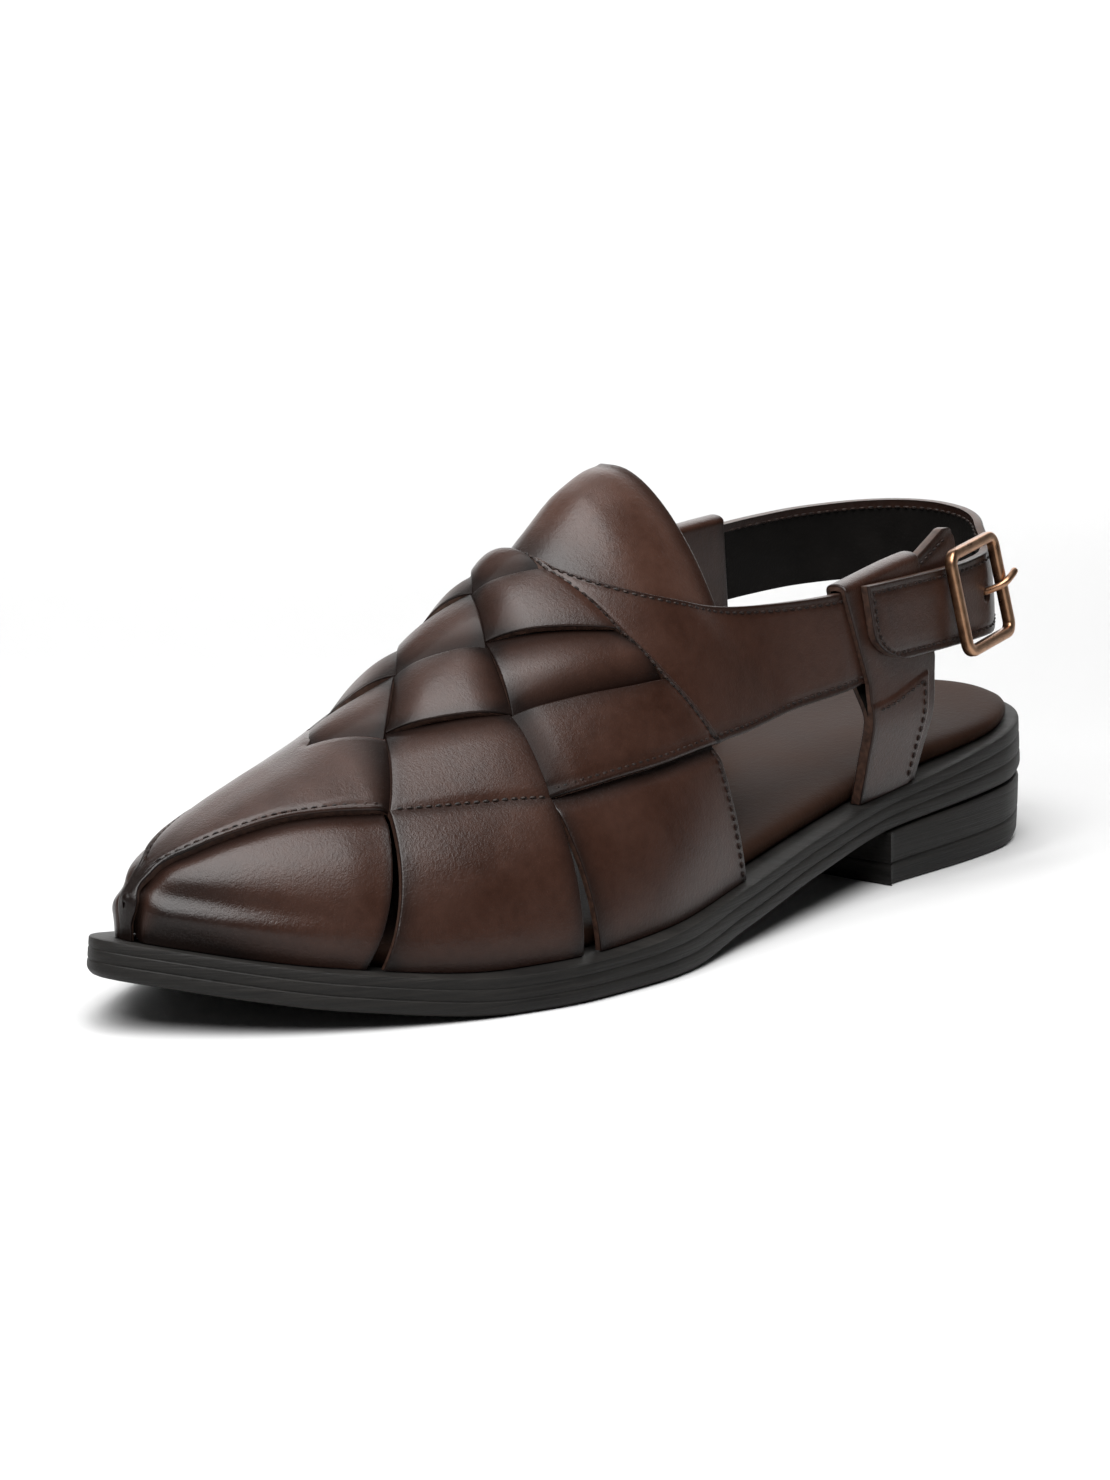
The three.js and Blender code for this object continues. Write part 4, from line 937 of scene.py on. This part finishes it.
def add_toe_strip(build):
    """Body across the ridge, a lateral leg that dives under the weave and a medial one that joins it."""
    half_v = stops(0, 1, 22, 0, 0.04)
    u, v = grid_of(stops(0, TOE_SPLIT, 70), join(-half_v[:0:-1], half_v))
    body = numbered(u.shape)
    middle = len(half_v) - 1
    quads = [grid_quads(body)]
    parts = [(u.ravel(), v.ravel(), *Skin(toe_strip_base, toe_strip_relief, -1).at(u.ravel(), v.ravel()))]
    count = u.size
    for side, end in LEG_ENDS.items():
        leg_u, leg_v = grid_of(stops(TOE_SPLIT, end, 22)[1:], half_v)
        own = count + numbered(leg_u.shape)
        first = body[-1, middle:] if side > 0 else body[-1, middle::-1]
        rows = join(first[None], own)
        quads.append(grid_quads(rows if side > 0 else rows[:, ::-1]))
        skin = Skin(TOE_HALVES[side], lambda u, v, dives=side > 0: toe_strip_relief(u, v, dives), -side)
        parts.append((leg_u.ravel(), side * leg_v.ravel(), *skin.at(leg_u.ravel(), leg_v.ravel())))
        count += leg_u.size
    u, v, outer, normal = (join(*kept) for kept in zip(*parts))
    forward = unit(columns(0 * u + 0.85, 0.5 * v, 0 * u + 0.3))
    normal = unit(mix(normal, forward, fall(u, 0.18, 0.34)[:, None]))
    # Painted shade where the lateral leg dives under the weave; burnish at the toe tip and along the folded
    # edges.
    ends = np.where(v > 0, smooth(u, 0.91, 1.0), 0)
    edge = (1 - np.abs(v)) * toe_half(u)
    shade = clamp(np.maximum(DARK_SHADE * ends, toe_shade(outer)) + 0.5 * fade(edge, 4.5, 2))
    build.shell(outer, outer - normal * STRIP_THICK, join(*quads), burnish=shade, matte=ends)
    line = np.linspace(0.37, 0.965, 200)
    for side in (1, -1):
        skin = Skin(TOE_HALVES[side], toe_strip_relief, -side)
        sew(build, skin, line, 1 - SEAM_IN / np.maximum(toe_half(line), 2.4))


def crease_relief(points):
    """Main creases over the toe joint, placed by height over the sole and by station."""
    s = points[..., 0]
    height = over_sole(points)
    deep = mix(CREASE_FAINT * smooth(s, *CREASE_FROM), 1, smooth(s, *CREASE_FULL)) * fall(s, *CREASE_END)
    ridge = RIDGE_HIGH * bell(height, CREASE_RIDGE, CREASE_WIDE)
    return deep * (ridge - TROUGH_DEEP * bell(height, CREASE_TROUGH, CREASE_WIDE))


def crease_band(points):
    """Where the leather is finely wrinkled: along the crease over the toe joint."""
    s = points[..., 0]
    along = smooth(s, *WRINKLE_FROM) * fall(s, *WRINKLE_END)
    return bell(over_sole(points), WRINKLE_HIGH, WRINKLE_WIDE) * along


def add_toe_panel(build, side):
    base = between(toe_line("s", "girth", side), toe_line("foot", "foot_girth", side))
    heights = widths_along(base, TOE_U)

    def under_edge(u, v):
        return v * np.interp(u, TOE_U, heights)

    def relief(u, v):
        tucked = panel_top(under_edge(u, v), *TOE_PANEL_TOP)
        middle = smooth(u, 0.1, 0.5) * fall(u, 0.75, TOE_BACK)
        dome = PANEL_DOME * clamp(4 * v * (1 - v)) * middle
        return tucked + dome + crease_relief(base(u, v)) - roll((TOE_BACK - u) * TOE_PANEL_LONG, EDGE_ROUND)

    us = stops(0.02, TOE_BACK, 70, 0, EDGE_ROUND / TOE_PANEL_LONG)
    u, v, outer, inner = Skin(base, relief, -side).sheet(us, stops(-0.06, 1, 46), STRIP_THICK)
    under = under_edge(u, v)
    # Painted shade below the edge tucked under the toe strip and at the back edge by the slit; burnish
    # toward the toe tip; painted shade toward the sole.
    shade = np.maximum(TUCK_SHADE * fall(under, *TUCK_DARK), toe_shade(outer) * smooth(under, -1, 9))
    shade = np.maximum(shade, 0.8 * smooth(u, TOE_BACK - 0.06, TOE_BACK)) + foot_shade(outer)
    build.slab(outer, inner, burnish=clamp(shade), wrinkle=0.3 + 0.7 * crease_band(outer))


def add_panel(build, side, column):
    top = [crossing(column - 1, 1) * (1, side), crossing(column, 1) * (1, side)]
    low = [np.array([s, side]) for s in PANEL_FEET[column]]
    tucked = (column == 3) == (side > 0)
    base = between(straight(*top), straight(*low))
    wide = span(base, (0, 0.5), (1, 0.5))
    high = span(base, (0.5, 0), (0.5, 1))

    def relief(u, v):
        rise = panel_top(v * high, *(TUCKED_TOP if tucked else RAISED_TOP))
        settle = mix(rise, 0.2, smooth(v, 0.3, 0.9))
        dome = PANEL_DOME * (1 - (2 * u - 1) ** 2) * clamp(4 * v * (1 - v))
        return settle + dome + crease_relief(base(u, v)) - roll(inward(u) * wide, EDGE_ROUND)

    skin = Skin(base, relief, -side)
    us = stops(0, 1, 44, EDGE_ROUND / wide, EDGE_ROUND / wide)
    u, v, outer, inner = skin.sheet(us, stops(-0.05 if tucked else 0, 1, 44), STRIP_THICK)
    under = v * high
    # Painted shade below a top edge tucked under the weave and beside the slits at the sides; a raised top
    # edge is burnished; painted shade toward the sole.
    top_shade = RAISED_SHADE * fall(under, *RAISED_DARK)
    if tucked:
        top_shade = TUCK_SHADE * fall(under, *TUCK_DARK)
    sides = 0.85 * fade(inward(u) * wide, DARK_SIDE, 1.6)
    shade = clamp(np.maximum(top_shade, sides) + foot_shade(outer))
    fine = 0.2 + crease_band(outer)
    if column == 2:
        fine = fine + 0.7 * smooth(v, 0.06, 0.2) * fall(v, 0.3, 0.6) * fall(u, 0.25, 0.5)
    build.slab(outer, inner, burnish=shade, wrinkle=clamp(fine))
    if column == 3:
        sew(build, skin, 1 - SEAM_IN / wide, np.linspace(0.02, 0.98, 80))


def quarter_skin(side, end, high, low, rounded):
    """Side strap: u runs back from the weave to its end, v from its lower to its upper edge."""
    roots = np.array([crossing(3, row) for row in range(1, 6)])
    lower = columns(QUARTER["low_s"], QUARTER["low_girth"])
    upper = columns(QUARTER["top_s"], QUARTER["top_girth"])
    start = 0.0 if side > 0 else 1.0
    end_share = path_share(end, side)

    def line(level):
        spot = along_path(level, ROW_LEVELS, roots)
        bulge = spot - mix(roots[0], roots[-1], level)
        places = join([spot], mix(lower, upper, level) + bulge * QUARTER["bulge"][:, None])
        after = on_strap(np.array([start, start + side * 0.03]), STRAP_THICK, level)
        return join(last_points(places[:, 0], side * places[:, 1]), after)

    levels = np.linspace(0, 1, 51)
    fan_t = np.linspace(0, 5 / 6, 61)
    lines = np.array([spline(line(level), fan_t) for level in levels])

    def base(u, v):
        u, v = np.broadcast_arrays(u, v)
        along = np.clip(u / QUARTER_FAN, -0.02, 1) * (len(fan_t) - 1)
        level = v * (len(levels) - 1)
        i = np.clip(np.floor(along).astype(int), 0, len(fan_t) - 2)
        j = np.clip(np.floor(level).astype(int), 0, len(levels) - 2)
        a, b = (along - i)[..., None], (level - j)[..., None]
        spread = mix(mix(lines[j, i], lines[j, i + 1], a), mix(lines[j + 1, i], lines[j + 1, i + 1], a), b)
        t = np.clip((u - QUARTER_FAN) / (1 - QUARTER_FAN), 0, 1.02)
        turn = clamp((t - CHAPE_FROM) / CHAPE_REACH)
        cut = rounded * (1 - np.sqrt(np.maximum(1 - np.abs(2 * clamp(v) - 1) ** 4, 0)))
        share = mix(start, end_share - side * cut / PATH_LENGTH * clamp(t), t)
        run = on_strap(share, STRAP_THICK, mix(low * turn, 1 + high * turn, v))
        return np.where((u < QUARTER_FAN)[..., None], spread, run)

    steps = np.linspace(0, 1, 41)
    widths = widths_along(base, steps)

    def wide(u):
        return np.interp(u, steps, widths)

    def relief(u, v):
        edge = inward(v) * wide(u)
        front = u * QUARTER_LONG
        sewn = ROOT_SWELL * bell(front, ROOT_IN, ROOT_WIDE) - ROOT_SWELL * bell(front, 0, ROOT_PULL)
        return QUARTER_RAISE + sewn - groove(edge) - roll(edge, EDGE_ROUND)

    return Skin(base, relief, side, 0.1), wide


def add_quarter(build, side, ends):
    skin, wide = quarter_skin(side, **ends)
    us, vs = stops(0, 1, 120, 0.05, 0.004), stops(0, 1, 30, 0.03, 0.03)
    u, v, outer, inner = skin.sheet(us, vs, STRAP_THICK - 0.1)
    edges = EDGE_SHADE * fade(inward(v) * wide(u), DARK_EDGE, DARK_POWER)
    shade = clamp(edges + SIDE_SHADE * fade(u * QUARTER_LONG, 9, DARK_POWER))
    build.slab(outer, inner, looks=(FACE, turned_looks(v, QUARTER_TURNED), RIM), burnish=shade)
    line = np.linspace(0.012, 0.97, 240)
    top = np.maximum(line, 0.05)
    sew(build, skin, top, 1 - SEAM_IN / wide(line))
    sew(build, skin, line, SEAM_IN / wide(line))
    sew(build, skin, 0.7 / QUARTER_LONG, np.linspace(0.02, 0.94, 160))


def add_upper():
    build = Build("upper_leather_work")
    for column, row in SQUARES:
        add_square(build, column, row)
        add_backing(build, column, row)
    add_toe_strip(build)
    for side, ends in ((1, CHAPE), (-1, MEDIAL_END)):
        add_toe_panel(build, side)
        for column in PANEL_FEET:
            add_panel(build, side, column)
        add_quarter(build, side, ends)
    build.piece(LEATHER_LOOKS, "upper")


# Sole: slab, heel block and padded footbed, from rings of the outline.
def outline_ring(stations, inset, height, lateral, medial, straight):
    left = columns(stations, lateral(stations))
    right = columns(stations, medial(stations))
    loop = join(left, (right if straight else right[:-1])[:0:-1])
    s, y = (loop + right_of(loop_along(loop)) * inset).T
    return columns(s, y, height(s))


def add_rings(build, steps, stations, height, lateral=lateral_edge, medial=medial_edge, straight=False):
    """Body of rings, one for each step of its side, closed across at the bottom and the top."""
    rings = np.array([
        outline_ring(stations, inset, lambda s, rise=rise: height(s, rise), lateral, medial, straight)
        for rise, inset in zip(steps["rise"], steps["inset"])
    ])
    count = rings.shape[1]
    numbers = numbered(rings.shape[:2])
    faces = ring_quads(numbers).tolist()
    for i in range(len(stations) - 1):
        cap = list(dict.fromkeys([i, i + 1, (count - i - 1) % count, (count - i) % count]))
        if len(cap) > 2:
            faces += [numbers[0, cap].tolist(), numbers[-1, cap[::-1]].tolist()]
    build.add(rings, faces)


def slab_height(s, rise):
    return mix(slab_under(s), slab_top(s), rise)


def heel_height(s, rise):
    """Heel block: its rear edge is lifted off the floor."""
    return mix(HEEL_LIFT * fade(np.maximum(s, 0), HEEL_LIFT_END, 2), slab_under(s) - SEAT, rise)


def footbed_height(s, rise):
    return slab_top(s) + SEAT + rise * footbed_thick(s)


def footbed_side(own, other):
    def at(s):
        on_sole = LENGTH * (s - FOOTBED_HEEL) / (FOOTBED_TOE - FOOTBED_HEEL)
        middle = (own(on_sole) + other(on_sole)) / 2
        return mix(middle, own(on_sole), footbed_share(s))

    return at


def rounded_stations(low, high, count):
    """Stations closer together toward both ends."""
    return mix(low, high, (1 - np.cos(math.pi * np.linspace(0, 1, count + 1))) / 2)


def add_outsole():
    build = Build("outsole_slab")
    add_rings(build, SLAB_STEPS, rounded_stations(0, LENGTH, 200), slab_height)
    build.piece((SOLE,), "outsole", sharp=40)


def add_heel():
    build = Build("heel_block")
    stations = HEEL_FRONT * (1 - np.cos(math.pi * np.linspace(0, 1, 91) / 2))
    add_rings(build, HEEL_STEPS, stations, heel_height, straight=True)
    build.piece((SOLE,), "heel", sharp=40)


def add_insole():
    build = Build("insole_pad")
    sides = (footbed_side(lateral_edge, medial_edge), footbed_side(medial_edge, lateral_edge))
    stations = rounded_stations(FOOTBED_HEEL, FOOTBED_TOE, 150)
    add_rings(build, FOOTBED_STEPS, stations, footbed_height, *sides)
    insole_pad = build.piece((footbed_leather(),), "insole", sharp=60)


# Tongue that stands up at the throat.
def tongue_base(u, v):
    edge = TONGUE_TOP + TONGUE_DIP * (1 - np.abs(v)) ** 2
    return last_points(mix(TONGUE_ROOT, edge, u), v * TONGUE_SPAN * mix(TONGUE_NECK, 1, u))


def tongue_edges(u, v):
    """Distances in from the top and the side of the tongue."""
    return (1 - u) * TONGUE_LONG, (1 - np.abs(v)) * TONGUE_HALF


def tongue_relief(u, v):
    top, side = tongue_edges(u, v)
    binding = BINDING_HIGH * bell(np.minimum(top, side), BINDING_IN, BINDING_WIDE)
    return -TONGUE_DEPTH + binding - roll(top, TONGUE_ROUND) - roll(side, TONGUE_ROUND)


def add_tongue():
    us, vs = stops(0, 1, 50, 0, 0.014), stops(-1, 1, 60, 0.016, 0.016)
    u, v, outer, inner = Skin(tongue_base, tongue_relief, -1).sheet(us, vs, TONGUE_THICK)
    rim = np.minimum(*tongue_edges(u, v))
    # Burnish along the edges, and painted shade toward the root where the tongue goes under the weave.
    shade = clamp(SIDE_SHADE * fall(rim, 0.5, 7) + END_SHADE * fall(u, 0.25, 0.55))
    build = Build("tongue_flap")
    build.slab(outer, inner, burnish=shade)
    build.piece((TONGUE_LEATHER_LIT, LINING, EDGE), "tongue")


# Heel strap: starts in the medial tab, passes round the heel and ends as a tip over the lateral tab.
STRAP_FROM = path_share(MEDIAL_END["end"], -1) - SEAT / PATH_LENGTH
STRAP_TO = path_share(STRAP_TIP, 1)
STRAP_LONG = (STRAP_FROM - STRAP_TO) * PATH_LENGTH
HOLE_SHARES = [path_share(BUCKLE_S, 1) + away / PATH_LENGTH for away in HOLE_PLACES]


def strap_share(u, v):
    corner = TIP_ROUND * (1 - np.sqrt(clamp(1 - fade(v, TIP_CORNER, 2))))
    corner = corner + TIP_SLANT * (1 - v)
    return mix(STRAP_FROM, STRAP_TO + corner / PATH_LENGTH * smooth(u, 0.7, 1), u)


def strap_base(u, v):
    share = strap_share(u, v)
    return on_heel_strap(share, STRAP_THICK + STRAP_OUTER * fall(share, *STRAP_CLEAR), v)


def strap_edge(u, v):
    return np.minimum(inward(v) * STRAP_WIDE, (1 - u) * STRAP_LONG)


def strap_holes(u, v):
    """1 inside the punched holes and 0 away from them."""
    share = strap_share(u, v)
    inside = 0 * share
    for hole in HOLE_SHARES:
        away = np.hypot((share - hole) * PATH_LENGTH, (v - 0.5) * STRAP_WIDE)
        inside = np.maximum(inside, fall(away, *HOLE_RIM))
    return inside


def strap_relief(u, v):
    edge = strap_edge(u, v)
    swell = 0.25 * smooth(edge, 1.5, 6)
    return swell - groove(edge) - roll(edge, STRAP_ROUND) - HOLE_DEEP * strap_holes(u, v)


def add_heel_strap():
    skin = Skin(strap_base, strap_relief, -1)
    near = np.linspace(-HOLE_NEAR, HOLE_NEAR, 17)
    holes_at = [((STRAP_FROM - hole) * PATH_LENGTH + near) / STRAP_LONG for hole in HOLE_SHARES]
    us = np.unique(join(stops(0, 1, 190, 0, STRAP_ROUND / STRAP_LONG), *holes_at))
    across = stops(0, 1, 30, STRAP_ROUND / STRAP_WIDE, STRAP_ROUND / STRAP_WIDE)
    u, v = grid_of(us, np.unique(join(across, 0.5 + near / STRAP_WIDE)))
    outer, normal = skin.at(u, v)
    holes = strap_holes(u, v)
    thick = STRAP_THICK - (STRAP_THICK - HOLE_DEEP - 0.1) * holes
    # Burnish along the edges, and painted shade inside the punched holes.
    shade = np.maximum(EDGE_SHADE * fade(strap_edge(u, v), DARK_EDGE, DARK_POWER), holes)
    build = Build("heel_strap_band")
    inner = strap_base(u, v) - normal * thick[..., None]
    build.slab(outer, inner, looks=(FACE, turned_looks(v, STRAP_TURNED), RIM), burnish=shade)
    side = SEAM_IN / STRAP_WIDE
    tip = 1 - SEAM_IN / STRAP_LONG
    line = np.linspace(0.01, 1, 300)
    turn = np.linspace(0, 1, 40)
    seam_u = join(line * tip, tip + 0 * turn, line[::-1] * tip)
    seam_v = join(side + 0 * line, mix(side, 1 - side, turn), 1 - side + 0 * line)
    sew(build, skin, seam_u, seam_v)
    back = Skin(strap_base, lambda u, v: 0 * u - STRAP_THICK, -1)
    sew(build, back, np.linspace(0.1, 0.72, 240), 1 - side, -0.05, -1)
    build.piece(LEATHER_LOOKS, "heel_strap")


# Side tabs: one leather folded over the strap, inner and outer leaf drawn in section.
def tab_section():
    """Middle of the leather, as offset and level: up the outer leaf, over the top, down the inner leaf."""
    middle = (TAB_OUT + TAB_BACK) / 2
    radius = (TAB_OUT - TAB_BACK - TAB_LAYER) / 2
    up = np.linspace(-TAB_LOW, TAB_HIGH, 150)
    down = up[::-1]
    angle = np.linspace(0, math.pi, 13)
    leaf = columns(0 * up + TAB_OUT - TAB_LAYER / 2, up)
    crest = columns(middle + radius * np.cos(angle), TAB_HIGH + LOOP_GAP + TAB_CREST * np.sin(angle))
    back = mix(TAB_OUT - 1.5 * TAB_LAYER, TAB_BACK + TAB_LAYER / 2, smooth(down, -8, 1))
    return join(leaf, crest, columns(back, down)), len(leaf)


def tab_place(side, top, waist, foot):
    """Points of a tab from offset, level and depth along the strap."""
    top, waist, foot = ([path_share(s, side) for s in pair] for pair in (top, waist, foot))

    def place(spot, depth):
        level = spot[..., 1]
        away = np.where(level > 0, np.minimum(level / TAB_HIGH, 1), -level / TAB_LOW)
        front, rear = (mix(waist[k], np.where(level > 0, top[k], foot[k]), away) for k in range(2))
        share = mix(front, rear, depth)
        low = strap_low(share)
        ground = slab_top(strap_point(share, 0 * share, low)[..., 0]) + SEAT
        over = np.maximum(level - TAB_HIGH, 0)
        fair = mix(low, strap_top(share), np.minimum(level, TAB_HIGH) / TAB_HIGH) + over
        below = mix(low, ground, -level / TAB_LOW)
        return strap_point(share, spot[..., 0], np.where(level >= 0, fair, below))

    return place


def tab_panel_line(depth):
    """Level of the top of the panel sewn on the lower part of the outer leaf."""
    return TAB_PANEL["level"] + TAB_PANEL["slant"] * smooth(depth, 0.2, 1)


def add_tab(name, **ends):
    place = tab_place(**ends)
    section, leaf = tab_section()
    turn = unit(np.gradient(section, axis=0))
    away = right_of(turn)[:, None]
    depths = np.unique(join(stops(0, 1, 44, 0.02, 0.02), np.linspace(0.8, 0.92, 15)))
    depth = np.broadcast_to(depths, (len(section), len(depths)))
    level = section[:, 1][:, None] + 0 * depth
    edge = inward(depth) * TAB_WIDE
    raised = fall(level - tab_panel_line(depth), -0.6, 0.3)
    raised = raised * fall(depth, TAB_PANEL["back"], TAB_PANEL["back"] + 0.03)
    raised = np.where(np.arange(len(section))[:, None] < leaf, raised, 0)
    half = TAB_LAYER / 2 - roll(edge, TAB_ROUND) + TAB_PANEL["raise"] * raised
    outer = place(section[:, None] + away * half[..., None], depth)
    inner = place(section[:, None] - away * (TAB_LAYER / 2 + 0 * half)[..., None], depth)
    # Burnish along the edges, and painted shade toward the sole at the foot of the tab.
    shade = SIDE_SHADE * fade(edge, 4, DARK_POWER) + FOOT_SHADE * fall(level, -TAB_LOW, -TAB_LOW + 7)
    build = Build(name.replace("side_tab", "tab_loop"))
    build.slab(outer, inner, burnish=clamp(shade))
    across = np.linspace(TAB_PANEL["front"], TAB_PANEL["back"] - 0.05, 60)
    down = np.linspace(0, 1, 60)
    seam_depth = join(across, 0 * down + across[-1])
    seam = tab_panel_line(across) - TAB_SEAM
    seam_level = join(seam, mix(seam[-1], 1.5 - TAB_LOW, down))
    spot = columns(TAB_OUT + TAB_PANEL["raise"] + 0.05 + 0 * seam_level, seam_level)
    places = place(spot, seam_depth)
    stitch_line(build, places, unit(place(spot + (1, 0), seam_depth) - places))
    build.piece(LEATHER_LOOKS, name)


# Buckle: frame and prong in its own frame, x toward the heel, y up, z outward.
def turn_about(axis, degrees):
    """Rotation about x, y or z, as a matrix."""
    c, s = math.cos(math.radians(degrees)), math.sin(math.radians(degrees))
    first, second = [k for k in range(3) if k != axis]
    made = np.eye(3)
    made[first, first] = made[second, second] = c
    made[first, second], made[second, first] = -s, s
    return made


def buckle_place():
    """Middle of the buckle on the strap's face and the directions of its axes, as columns."""
    share = path_share(BUCKLE_S, 1)
    face = STRAP_OUTER + STRAP_THICK
    middle = on_heel_strap(share, face, 0.5)
    chord = BUCKLE_LENGTH / 2 / PATH_LENGTH
    toeward, heelward = (strap_point(share + way * chord, face, middle[2]) for way in (-1, 1))
    heelward = unit(heelward - toeward)
    axes = columns(heelward, (0, 0, 1), np.cross(heelward, (0, 0, 1)))
    return middle + (0, 0, BUCKLE_RISE), axes @ turn_about(0, -BUCKLE_LEAN) @ turn_about(2, BUCKLE_TILT)


BUCKLE_MIDDLE, BUCKLE_AXES = buckle_place()


def on_buckle(points):
    return BUCKLE_MIDDLE + np.asarray(points, float) @ BUCKLE_AXES.T


def squared(wave):
    """Wave of a round section, filled out toward a square."""
    return np.sign(wave) * np.abs(wave) ** BUCKLE_SQUARE


def add_buckle_frame():
    half = np.array([BUCKLE_LENGTH, BUCKLE_HEIGHT]) / 2
    loop = []
    for quarter, way in enumerate(((1, 1), (-1, 1), (-1, -1), (1, -1))):
        angle = np.linspace(quarter, quarter + 1, 12) * math.pi / 2
        corner = (half - BUCKLE_CORNER) * way
        loop.append(corner + BUCKLE_CORNER * columns(np.cos(angle), np.sin(angle)))
    closed = join(*loop, loop[0][:1])
    reach = run_along(closed)
    loop = along_path(np.linspace(0, reach[-1], 200, endpoint=False), reach, closed)
    away = right_of(loop_along(loop))
    angle = np.linspace(0, 2 * math.pi, 28, endpoint=False)
    rise = BUCKLE_DEEP * squared(np.sin(angle))
    ring = loop[:, None] + away[:, None] * (BUCKLE_WIDE * squared(np.cos(angle)))[None, :, None]
    size = ring.shape[:2]
    points = on_buckle(columns(ring[..., 0], ring[..., 1], np.broadcast_to(BAR_HEIGHT + rise, size)))
    numbers = numbered(size)
    quads = faced_out(points.reshape(-1, 3), ring_quads(join(numbers, numbers[:1])))
    rubbed = np.broadcast_to(0.1 + 0.3 * np.maximum(rise, 0) / BUCKLE_DEEP, size)
    build = Build("buckle_bar_frame")
    build.add(points, quads, burnish=rubbed)
    build.piece((COPPER,), "buckle_frame", sharp=60)


def add_prong():
    over = BAR_HEIGHT + BUCKLE_DEEP + SEAT + PRONG_RADIUS
    bends = np.array([
        (3.4, 2.1, over + 0.1),
        (1.8, 1.7, over + 0.3),
        (0, 1.1, over + 0.2),
        (-2.2, 0.2, over - 0.5),
        (-4, -0.8, 0.6),
        (-4.6, -1.2, -2.6),
    ])
    spine = spline(bends + (HEEL_BAR, 0, 0), np.linspace(0, 1, 40))
    size = PRONG_RADIUS * join([0.35, 0.7, 0.92], np.ones(34), [0.97, 0.85, 0.6])
    build = Build("buckle_pin")
    build.tube(on_buckle(spine), size, BUCKLE_AXES[:, 2], sides=14, burnish=0.3)
    build.piece((COPPER,), "buckle_prong", sharp=60)


# The ten pieces.
add_upper()
add_outsole()
add_heel()
add_insole()
add_tongue()
add_heel_strap()
for tab_name, tab in TABS.items():
    add_tab(tab_name, **tab)
add_buckle_frame()
add_prong()

# Camera at the photo's angle, aimed at the middle of the shoe and zoomed to fill the frame with it.
CAMERA_PLACE = Vector((0.8774, 0.7307, 0.2666))
CAMERA_AIM = Vector((0.0006, -0.0118, 0.0406))
CAMERA_LENS = 122.9
SENSOR = 36


def stand(name, data, place, aim):
    """Camera or lamp at a place, turned to what it aims at."""
    obj = bpy.data.objects.new(name, data)
    obj.location = place
    obj.rotation_mode = "QUATERNION"
    obj.rotation_quaternion = (Vector(aim) - Vector(place)).to_track_quat("-Z", "Y")
    bpy.context.scene.collection.objects.link(obj)
    return obj


camera = stand("camera", bpy.data.cameras.new("camera"), CAMERA_PLACE, CAMERA_AIM)
camera.data.sensor_width = SENSOR
camera.data.lens = CAMERA_LENS
bpy.context.scene.camera = camera

# Pale floor and soft studio light, in metres and watts.
FLOOR = {"half": 8.0, "front": 8.0, "turn": -1.2, "bend": 0.8, "top": 4.0}
FLOOR_PAINT = {"Base Color": (0.52, 0.52, 0.52, 1), "Roughness": 0.8}
LIGHTS = {
    "key": {"place": (0.72, 0.26, 1.25), "aim": (0.72, 0.26, 0), "size": (1.75, 1.25), "power": 60},
    "wash": {"place": (-1.0, -0.9, 1.5), "aim": (-2.0, -1.8, 0.5), "size": (2.6, 1.0), "power": 95},
}
SKY = {"Color": (0.95, 0.97, 1.0, 1), "Strength": 0.03}


def add_floor(half, front, turn, bend, top):
    """Seamless sweep: a level floor that turns up into a wall behind the shoe."""
    ahead = Vector((CAMERA_PLACE.x, CAMERA_PLACE.y, 0)).normalized()
    beside = Vector((-ahead.y, ahead.x, 0))
    profile = [(front, 0.0), (turn, 0.0)]
    for a in np.linspace(0.1, math.pi / 2, 14):
        profile.append((turn - bend * math.sin(a), bend - bend * math.cos(a)))
    profile.append((turn - bend, top))
    points = []
    for along, z in profile:
        middle = ahead * along + Vector((0, 0, z))
        points += [middle - beside * half, middle + beside * half]
    faces = [(2 * i, 2 * i + 2, 2 * i + 3, 2 * i + 1) for i in range(len(profile) - 1)]
    mesh = bpy.data.meshes.new("floor")
    mesh.from_pydata(points, [], faces)
    mesh.polygons.foreach_set("use_smooth", np.ones(len(faces), bool))
    mesh.materials.append(Look("floor_paint").finished(FLOOR_PAINT))
    floor = bpy.data.objects.new("floor", mesh)
    bpy.context.scene.collection.objects.link(floor)


def add_light(name, place, aim, size, power):
    light = bpy.data.lights.new(name, "AREA")
    light.shape = "RECTANGLE"
    light.size, light.size_y = size
    light.energy = power
    stand(name, light, place, aim)


add_floor(**FLOOR)
for light_name, light in LIGHTS.items():
    add_light(light_name, **light)
world = bpy.data.worlds.new("studio")
bpy.context.scene.world = world
world.use_nodes = True
for key, value in SKY.items():
    world.node_tree.nodes["Background"].inputs[key].default_value = value
bpy.context.scene.view_settings.view_transform = "Standard"
